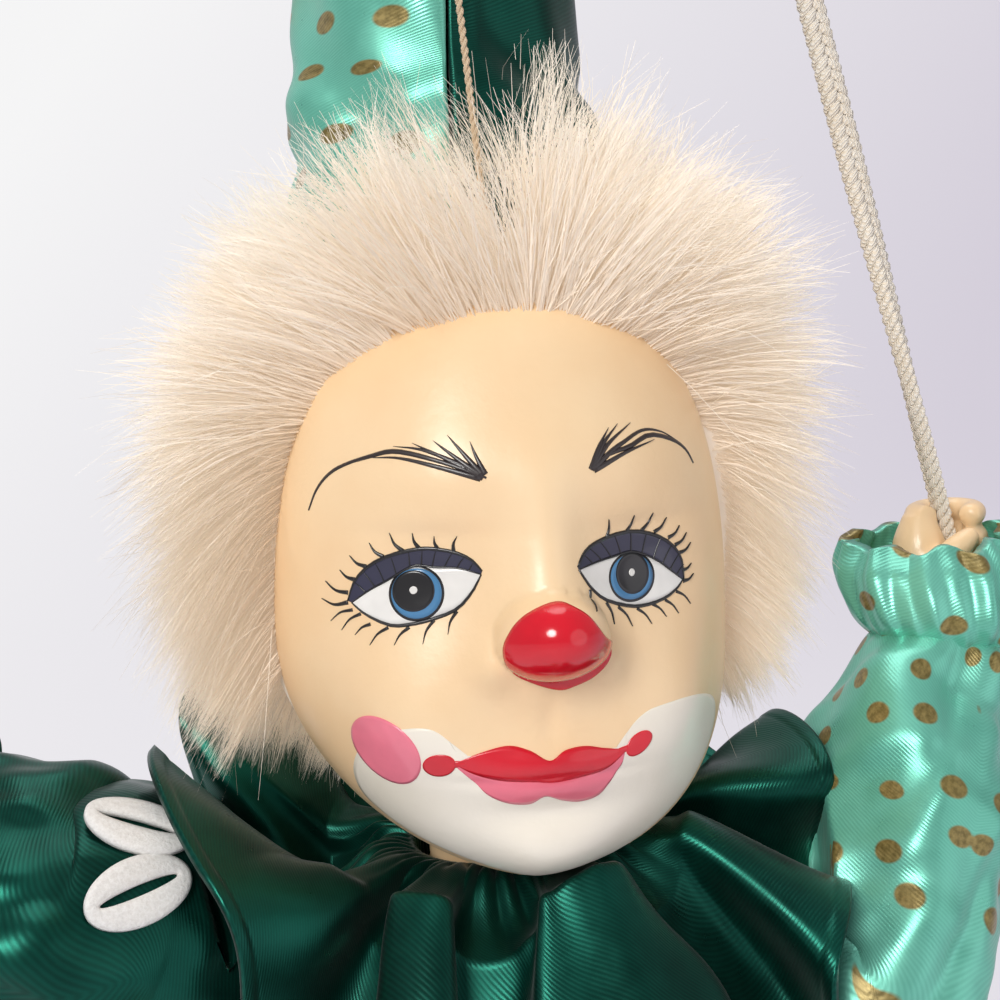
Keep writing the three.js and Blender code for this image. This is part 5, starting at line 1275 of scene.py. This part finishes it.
def garment(name, stations, sides, folds, material, slot, body, *nodes, side=(0, 1, 0), wrinkle=0.7, seed=5,
            rows=170, fill=0.6, mend=None):
    """Rings along a smooth line of stations x, y, z, radius, radius.

    folds(turn, s) swells them, ripples crease them, and mend(skin, smooth skin) moves the result.
    """
    line = through(np.asarray(stations, float), rows)
    path = line[:, :3]
    turn = circle(sides)[None]
    s = np.linspace(0, 1, rows)[:, None]
    swell = folds(turn, s)
    _, u, v = frames_along(path, side)
    round_u, round_v = line[:, 3:4] * np.cos(turn), line[:, 4:5] * np.sin(turn)
    grid = about(path, u, v, round_u * swell, round_v * swell)
    grid = grid + normals_of(grid) * (wrinkle * ripple(grid, 4.2, seed))[..., None]
    if mend:
        inside = 0.94 * (u[:, None] * round_u[..., None] + v[:, None] * round_v[..., None])
        grid = mend(grid, path[:, None] + inside)
    obj = closed_tube(name, grid)
    belongs(obj, material, slot, body, *nodes)
    return obj


ARMS = {
    "left": {"elbow": (53, -6, 92), "wrist": (77, 7, 136), "cuff": 16.0,
             "satin": MINT_SATIN, "slot": "mint_satin"},
    "right": {"elbow": (-62, -3, 117), "wrist": (-81, 8, 129), "cuff": 12.6,
              "satin": GREEN_SATIN, "slot": "green_satin"},
}


def sleeve(hand):
    """A full tube of satin from the shoulder over the elbow to the wrist, gathered at the cuff."""
    arm, side = ARMS[hand], SIDES[hand]
    shoulder, elbow, wrist = (np.array(p, float) for p in ((side * 31, 4, 96), arm["elbow"], arm["wrist"]))
    upper = lambda t: shoulder + (elbow - shoulder) * t
    lower = lambda t: elbow + (wrist - elbow) * t
    puff = 0 if side > 0 else 4
    full = 18.8 + puff / 4
    stations = [(*upper(-0.15), 12, 12), (*upper(0.2), 15, 15), (*(upper(0.7) + [0, 0, puff]), full, full),
                (*elbow, 19.3, 19.3), (*lower(0.35), 19, 19), (*lower(0.7), 15.6, 15.6),
                (*lower(0.9), 12, 12), (*lower(0.985), 9.4, 9.4)]
    folds = lambda turn, s: (1 + 0.09 * np.sin(3 * turn + 9 * s) * np.sin(np.pi * s)
                             + 0.10 * np.abs(np.sin(4.5 * turn)) * np.clip((s - 0.75) / 0.25, 0, 1)
                             - 0.03 * np.sin(26 * s + 2 * turn))
    mend = lambda grid, smooth: under_collar(flat_under(grid, smooth, OVAL_PLACES))
    seed, wrinkle = (31, 1.5) if side > 0 else (37, 1.1)
    garment(f"satin_sleeve_{hand}", stations, 240, folds, arm["satin"], arm["slot"], "swing",
            f"sleeve_{hand}", seed=seed, wrinkle=wrinkle, rows=220, mend=mend)


def cuff(hand):
    """A fluted puff that swells from the wrist, narrows to its rim and turns back inside."""
    arm, side = ARMS[hand], SIDES[hand]
    rows, turned_in = 70, 62
    base = np.array(arm["wrist"], float) - [0, 0, 0.3]
    rise = lambda t: base + np.array([side * 2 * t, 7 * t, 15 * t])
    reach = arm["cuff"]
    outer = [(*rise(0), 10.8, 10.8), (*rise(0.3), reach * 0.94, reach * 0.94), (*rise(0.7), reach, reach),
             (*rise(1), reach * 0.86, reach * 0.86)]
    line = through(np.array(outer), rows)
    inner = line[::-1].copy()
    inner[:, 3:] = np.maximum(inner[:, 3:] - 2.0, 8.6)
    rim = np.concatenate([line, inner[:turned_in]])
    turn = circle(220)[None]
    s = np.concatenate([np.linspace(0, 1, rows), np.linspace(1, 0, rows)[:turned_in]])[:, None]
    flute = 1 + (0.07 * np.sin(11 * turn) + 0.03 * np.sin(23 * turn + 1)) * s
    flute = flute - 0.05 * np.abs(np.sin(12 * turn)) * (1 - s)
    grid = np.stack([rim[:, :1] + rim[:, 3:4] * flute * np.cos(turn),
                     rim[:, 1:2] + rim[:, 4:5] * flute * np.sin(turn),
                     rim[:, 2:3] + 0.8 * np.sin(9 * turn) * s], -1)
    grid[:rows] += normals_of(grid)[:rows] * (0.5 * ripple(grid[:rows], 3.4, 8))[..., None]
    obj = closed_tube(f"puffed_cuff_{hand}", grid)
    belongs(obj, arm["satin"], arm["slot"], "swing", f"cuff_{hand}")


for hand in SIDES:
    sleeve(hand)
    cuff(hand)


def felt_oval(which, middle, face, slot):
    """A slotted oval of felt, bent over the sleeve: rings from the rim to the slot, above and then below."""
    normal, way = unit(np.array(face)), unit(np.array(slot))
    over = np.cross(normal, way)
    turn = circle(96)[None]
    share = np.linspace(0, 1, 9)[:, None]
    long = 7.2 + (5.4 - 7.2) * share
    short = 4.4 + (0.7 - 4.4) * share
    x, y = long * np.cos(turn), short * np.sin(turn)
    arm = unit(np.array([-31.0, -7.0, 21.0]))
    flat = way * x[..., None] + over * y[..., None]
    bend = (flat @ np.cross(normal, arm)) ** 2 / 38
    edge = 0.3 * np.minimum(1, 4 * np.minimum(share, 1 - share))
    top = np.array(middle) + flat + normal * (0.75 + edge - bend)[..., None]
    low = np.array(middle) + flat + normal * (-0.05 - bend)[..., None]
    loop = np.concatenate([top, low[::-1]])
    obj = facing_out(make_mesh(f"felt_oval_{which}", loop, [grid_faces(18, 96, wrap_rows=True)]))
    belongs(obj, FELT, "white_felt", "swing", f"shoulder_oval_{which}")


for which, place in OVALS.items():
    felt_oval(which, **place)


def melt(obj, voxel, smooth_turns=6):
    """Joins overlapping closed pieces into one smooth skin and keeps the result as a plain mesh."""
    remesh = obj.modifiers.new("melt", "REMESH")
    remesh.mode = "VOXEL"
    remesh.voxel_size = voxel / 1000
    remesh.use_smooth_shade = True
    soften = obj.modifiers.new("soften", "SMOOTH")
    soften.iterations = smooth_turns
    soften.factor = 0.5
    graph = bpy.context.evaluated_depsgraph_get()
    mesh = bpy.data.meshes.new_from_object(obj.evaluated_get(graph))
    obj.modifiers.clear()
    obj.data = mesh
    return obj


def joined_tubes(name, tubes, sides=16):
    """Several tapering tubes, each of stations x, y, z, radius, in one mesh."""
    parts = []
    for stations, axis in tubes:
        line = through(np.asarray(stations, float), 26)
        parts.append(capped(tube_grid(line[:, :3], line[:, 3], line[:, 3], sides, axis)))
    points, faces, _ = joined(parts)
    return facing_out(make_mesh(name, points, faces))


def fist(hand):
    """Four fingers curled round the rope from the palm, the thumb across them, and the wrist."""
    side = SIDES[hand]
    grip = np.array([side * GRIP[0], GRIP[1], GRIP_Z])
    wrist = np.array(ARMS[hand]["wrist"], float)
    elbow = np.array(ARMS[hand]["elbow"], float)
    curl = ROPE_WIDTH / 2 + 0.5 + 2.3 * 0.8
    tubes = []
    for k in range(4):
        z = grip[2] + 1 + (k - 1.5) * 4.2
        turn = np.radians(205 - 45 * np.arange(7))
        size = 2.35 * (1 - 0.1 * (np.arange(7) / 6) ** 2) * (0.92 if k in (0, 3) else 1.0)
        line = np.stack([grip[0] + side * curl * np.cos(turn), grip[1] + curl * np.sin(turn),
                         np.full(7, z), size], 1)
        last = line[-1] + (line[-1] - line[-2]) * 0.25
        last[3] = 0.8
        tubes.append((np.concatenate([line, last[None]]), (0, 0, 1)))
    thumb = [(*(grip + [-side * 5.5, -3, -7]), 2.6), (*(grip + [-side * 5.6, -6, -1]), 2.5),
             (*(grip + [-side * 2, -7.4, 3]), 2.2), (*(grip + [side * 1, -7.2, 5]), 1.4)]
    tubes.append((thumb, (0, 1, 0)))
    palm = [(*(grip + [-side * 5, -1, -9]), 4.4), (*(grip + [-side * 5.2, -0.5, -3]), 5.0),
            (*(grip + [-side * 5.2, -0.2, 3]), 4.4), (*(grip + [-side * 5, 0, 8]), 2.4)]
    tubes.append((palm, (0, 1, 0)))
    fore = [(*(elbow + (wrist - elbow) * 0.56), 5.6), (*(elbow + (wrist - elbow) * 0.8), 5.4), (*wrist, 4.8),
            (*(grip + [-side * 5, -4, -7]), 5.0), (*(grip + [-side * 5, -2, 0]), 3.4)]
    tubes.append((fore, (0, 1, 0)))
    obj = melt(joined_tubes(f"porcelain_fist_{hand}", tubes), 0.5)
    belongs(obj, SKIN, "painted_porcelain", "swing", f"hand_{hand}")


for hand in SIDES:
    fist(hand)


# Body, trousers and shoes

HIP, KNEE = np.array([18, 0, 18.5]), np.array([20, -56, 15.5])
SHIN_LENGTH = 92  # from the knee to the sole
HEM_DROP = SHIN_LENGTH - 24  # from the knee to the trouser's hem


def satins(hand):
    """The satin and slot of the suit on this side, then those of the other side."""
    both = [(GREEN_SATIN, "green_satin"), (MINT_SATIN, "mint_satin")]
    return both if SIDES[hand] > 0 else both[::-1]


def half_suit(hand):
    """One half of the suit: half rings from the seat to the neck, closed on the middle seam."""
    side = SIDES[hand]
    stations = np.array([(0, 6, 0.5, 28.5, 22.1), (0, 6, 6, 34.9, 27.0), (0, 6, 24, 35.6, 27.6),
                         (0, 6, 42, 31.3, 24.3), (0, 6, 58, 35, 24.2), (0, 6, 84, 38.6, 24.1),
                         (0, 6, 94, 33.2, 22.7), (0, 3, 101, 19.2, 18.2)])
    line = through(stations, 130)
    start = -np.pi / 2 if side > 0 else np.pi / 2
    turn = np.linspace(start, start + np.pi, 130)[None]
    s = np.linspace(0, 1, 130)[:, None]
    swell = 1 + 0.03 * np.sin(8 * turn + 3 * s) * np.sin(np.pi * s) + 0.02 * np.sin(30 * s + 3 * turn)
    x = side * 0.15 + line[:, 3:4] * swell * np.cos(turn)
    x = np.where(side * x < 0.15, side * 0.15, x)
    grid = np.stack([x, line[:, 1:2] + line[:, 4:5] * swell * np.sin(turn), line[:, 2:3] + 0 * turn], -1)
    wave = 0.6 * ripple(grid, 5.0, 50 + int(side)) * np.minimum(1, np.abs(grid[..., 0]) / 3)
    grid[..., 0] += side * wave
    material, slot = satins(hand)[0]
    obj = closed_tube(f"suit_cloth_{hand}", grid)
    belongs(obj, material, slot, "swing", f"suit_{hand}_half", "stuffed_body")


def trouser_thigh(hand):
    """The upper trouser leg, from the hip to just before the knee."""
    material, slot = satins(hand)[0]
    hip, knee = HIP * [SIDES[hand], 1, 1], KNEE * [SIDES[hand], 1, 1]
    at = lambda t: hip + (knee - hip) * t
    folds = lambda turn, s: 1 + 0.03 * np.sin(4 * turn + 8 * s) - 0.02 * np.sin(30 * s + turn)
    stations = [(*at(-0.24), 9, 9), (*at(-0.1), 14.6, 14.6), (*at(0.1), 16.4, 16.4), (*at(0.3), 16.4, 16.4),
                (*at(0.6), 15.4, 15.4), (*at(0.74), 14.0, 14.0), (*at(0.78), 12.0, 12.0)]
    garment(f"trouser_thigh_{hand}", stations, 150, folds, material, slot, f"{hand}_thigh",
            f"thigh_{hand}", side=(1, 0, 0), seed=60, rows=110)


def trouser_shin(hand):
    """The lower trouser leg, from the knee to its gathered hem."""
    material, slot = satins(hand)[0]
    knee = KNEE * [SIDES[hand], 1, 1]
    down = lambda d: knee - [0, 0, d]
    gather = lambda turn, s: (1 + 0.05 * np.sin(5 * turn + 4 * s) * s
                              + 0.10 * np.abs(np.sin(6 * turn)) * np.clip((s - 0.8) / 0.2, 0, 1)
                              - 0.025 * np.sin(24 * s + 2 * turn))
    stations = [(*down(-14.3), 2.5, 2.5), (*down(-11.5), 8.6, 8.6), (*down(-5), 13.4, 13.4),
                (*down(3), 14.2, 14.2), (*down(20), 13.4, 13.4), (*down(44), 14, 14),
                (*down(60), 12.4, 12.4), (*down(HEM_DROP), 9.0, 9.0)]
    garment(f"trouser_cloth_{hand}", stations, 160, gather, material, slot, f"{hand}_shin",
            f"trouser_shin_{hand}", side=(1, 0, 0), seed=70)


def ankle_frill(hand):
    """A fluted frill of the other satin: one closed profile carried round the ankle."""
    material, slot = satins(hand)[1]
    knee = KNEE * [SIDES[hand], 1, 1]
    turn = circle(200)[None]
    line = np.array([(8.6, 0.3), (11.5, 2.4), (14.5, 5.4), (14.2, 6.1), (12.6, 5.4), (7.4, 2.0)])
    profile = through(line, 40)
    grow = np.clip((profile[:, :1] - 8.0) / 6.5, 0, 1)
    radius = profile[:, :1] * (1 + 0.09 * grow * np.sin(9 * turn))
    z = knee[2] - HEM_DROP - profile[:, 1:] + 0.6 * grow * np.sin(9 * turn + 1)
    grid = np.stack([knee[0] + radius * np.cos(turn), knee[1] + radius * np.sin(turn), z], -1)
    frill = closed_tube(f"ankle_ruffle_{hand}", grid)
    belongs(frill, material, slot, f"{hand}_shin", f"ankle_frill_{hand}")


def porcelain_leg(hand):
    """The bare shin, and a moulded shoe of oval rings from heel to toe with a flat sole."""
    knee = KNEE * [SIDES[hand], 1, 1]
    sole = knee[2] - SHIN_LENGTH
    shin = [(knee[0], knee[1], sole + rise, radius)
            for rise, radius in ((6, 6.2), (20, 6.4), (40, 8.4), (66, 7.6))]
    obj = joined_tubes(f"porcelain_shin_{hand}", [(shin, (1, 0, 0))], 40)
    belongs(obj, SKIN, "painted_porcelain", f"{hand}_shin", f"leg_{hand}")
    toe = lambda t: knee[1] + 40 * (0.3 - t)
    last = np.array([(knee[0], toe(0.0), sole + 6.6, 3.0, 2.8), (knee[0], toe(0.06), sole + 7.5, 6.6, 7.2),
                     (knee[0], toe(0.3), sole + 7.4, 7.6, 7.3), (knee[0], toe(0.6), sole + 6.3, 8.6, 6.2),
                     (knee[0], toe(0.82), sole + 6.6, 10.0, 6.5), (knee[0], toe(0.95), sole + 6.0, 8.0, 5.4),
                     (knee[0], toe(1.0), sole + 5.6, 3.4, 2.4)])
    line = through(last, 60)
    turn = circle(60)[None]
    grid = np.stack([line[:, :1] + line[:, 3:4] * np.cos(turn), line[:, 1:2] + 0 * turn,
                     np.maximum(line[:, 2:3] + line[:, 4:5] * np.sin(turn), sole + 0.05)], -1)
    points, faces, _ = capped(grid)
    shoe = facing_out(make_mesh(f"moulded_shoe_{hand}", points, faces))
    belongs(shoe, SHOE_ENAMEL, "painted_porcelain", f"{hand}_shin", f"leg_{hand}")


for hand in SIDES:
    half_suit(hand)
    trouser_thigh(hand)
    trouser_shin(hand)
    ankle_frill(hand)
    porcelain_leg(hand)

# CAD nodes that stay, with their finishes
for node, material in {"seat_board": PINE, "neck_pin": BRASS, "neck_washer": WASHER_FELT, "crown_pate": CORK,
                       "shoulder_plate": SKIN, "arm_left": MUSLIN, "arm_right": MUSLIN}.items():
    paint(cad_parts[node], material)


# Floor, backdrop and lights

def backdrop():
    """A floor that curves up into a wall: the profile is a flat run, a quarter circle and an upright."""
    floor_z, depth, bend, height, width = -690.0 + HOOK_Z, 2200.0, 700.0, 4500.0, 6000.0
    t = np.linspace(0, np.pi / 2, 24)
    y = np.concatenate([[-3000], depth - bend + bend * np.sin(t), [depth]])
    z = np.concatenate([[0], bend * (1 - np.cos(t)), [height]])
    x = np.linspace(-width, width, 3)
    grid = np.stack(np.broadcast_arrays(x[None], y[:, None], floor_z + z[:, None]), -1)
    obj = make_mesh("backdrop", grid, [grid_faces(len(y), 3, wrap_columns=False)])
    finish = Finish("pale_backdrop", linear(232, 228, 236), 0.9)
    # The backdrop's colour fades from white at the upper left to lavender grey at the lower right: painted
    # light falloff.
    place = finish.node("SeparateXYZ", links={"Vector": finish.place()})
    painted_falloff = finish.math("SUBTRACT", place.outputs["X"], finish.math("MULTIPLY", place.outputs["Z"], 0.9))
    tint = finish.mix(finish.between(painted_falloff, -0.31, 1.7), linear(255, 255, 255), linear(220, 214, 226))
    glow = finish.node("Emission", links={"Color": tint}, in_Strength=1.0)
    path = finish.node("LightPath")
    seen = finish.math("MAXIMUM", path.outputs["Is Glossy Ray"], path.outputs["Is Transmission Ray"])
    cover = finish.math("MAXIMUM", finish.math("MULTIPLY", path.outputs["Is Camera Ray"], 0.88),
                        finish.math("MULTIPLY", seen, 0.5))
    mixed = finish.node("MixShader", links={0: cover, 1: finish.shader.outputs[0], 2: glow.outputs[0]})
    finish.links.new(mixed.outputs[0], finish.nodes["Material Output"].inputs["Surface"])
    paint(obj, finish.material)


def lamp(name, place, aim, size, power, colour=(1, 1, 1)):
    """A round area light at a place, which shines towards its aim."""
    data = bpy.data.lights.new(name, "AREA")
    data.shape = "DISK"
    data.size = size
    data.energy = power
    data.color = colour
    obj = bpy.data.objects.new(name, data)
    place, aim = to_row(place), to_row(aim)
    away = unit(place - aim)
    right = unit(np.cross([0, 0, 1.0], away))
    up = np.cross(away, right)
    columns = Matrix(np.stack([right, up, away], 1).tolist())
    obj.matrix_world = Matrix.LocRotScale(place, columns, None)
    bpy.context.collection.objects.link(obj)


backdrop()
FACE = (0, -25, 155)
lamp("key", (-380, -620, 560), FACE, 0.32, 4.3, (1, 0.985, 0.96))
lamp("fill", (560, -560, 180), FACE, 0.7, 0.8)
lamp("top", (60, 120, 760), FACE, 0.5, 1.7)
world = bpy.data.worlds.new("room")
world.use_nodes = True
world.node_tree.nodes["Background"].inputs[0].default_value = (0.93, 0.92, 0.96, 1)
world.node_tree.nodes["Background"].inputs[1].default_value = 0.34
bpy.context.scene.world = world
bpy.context.scene.view_settings.view_transform = "Standard"
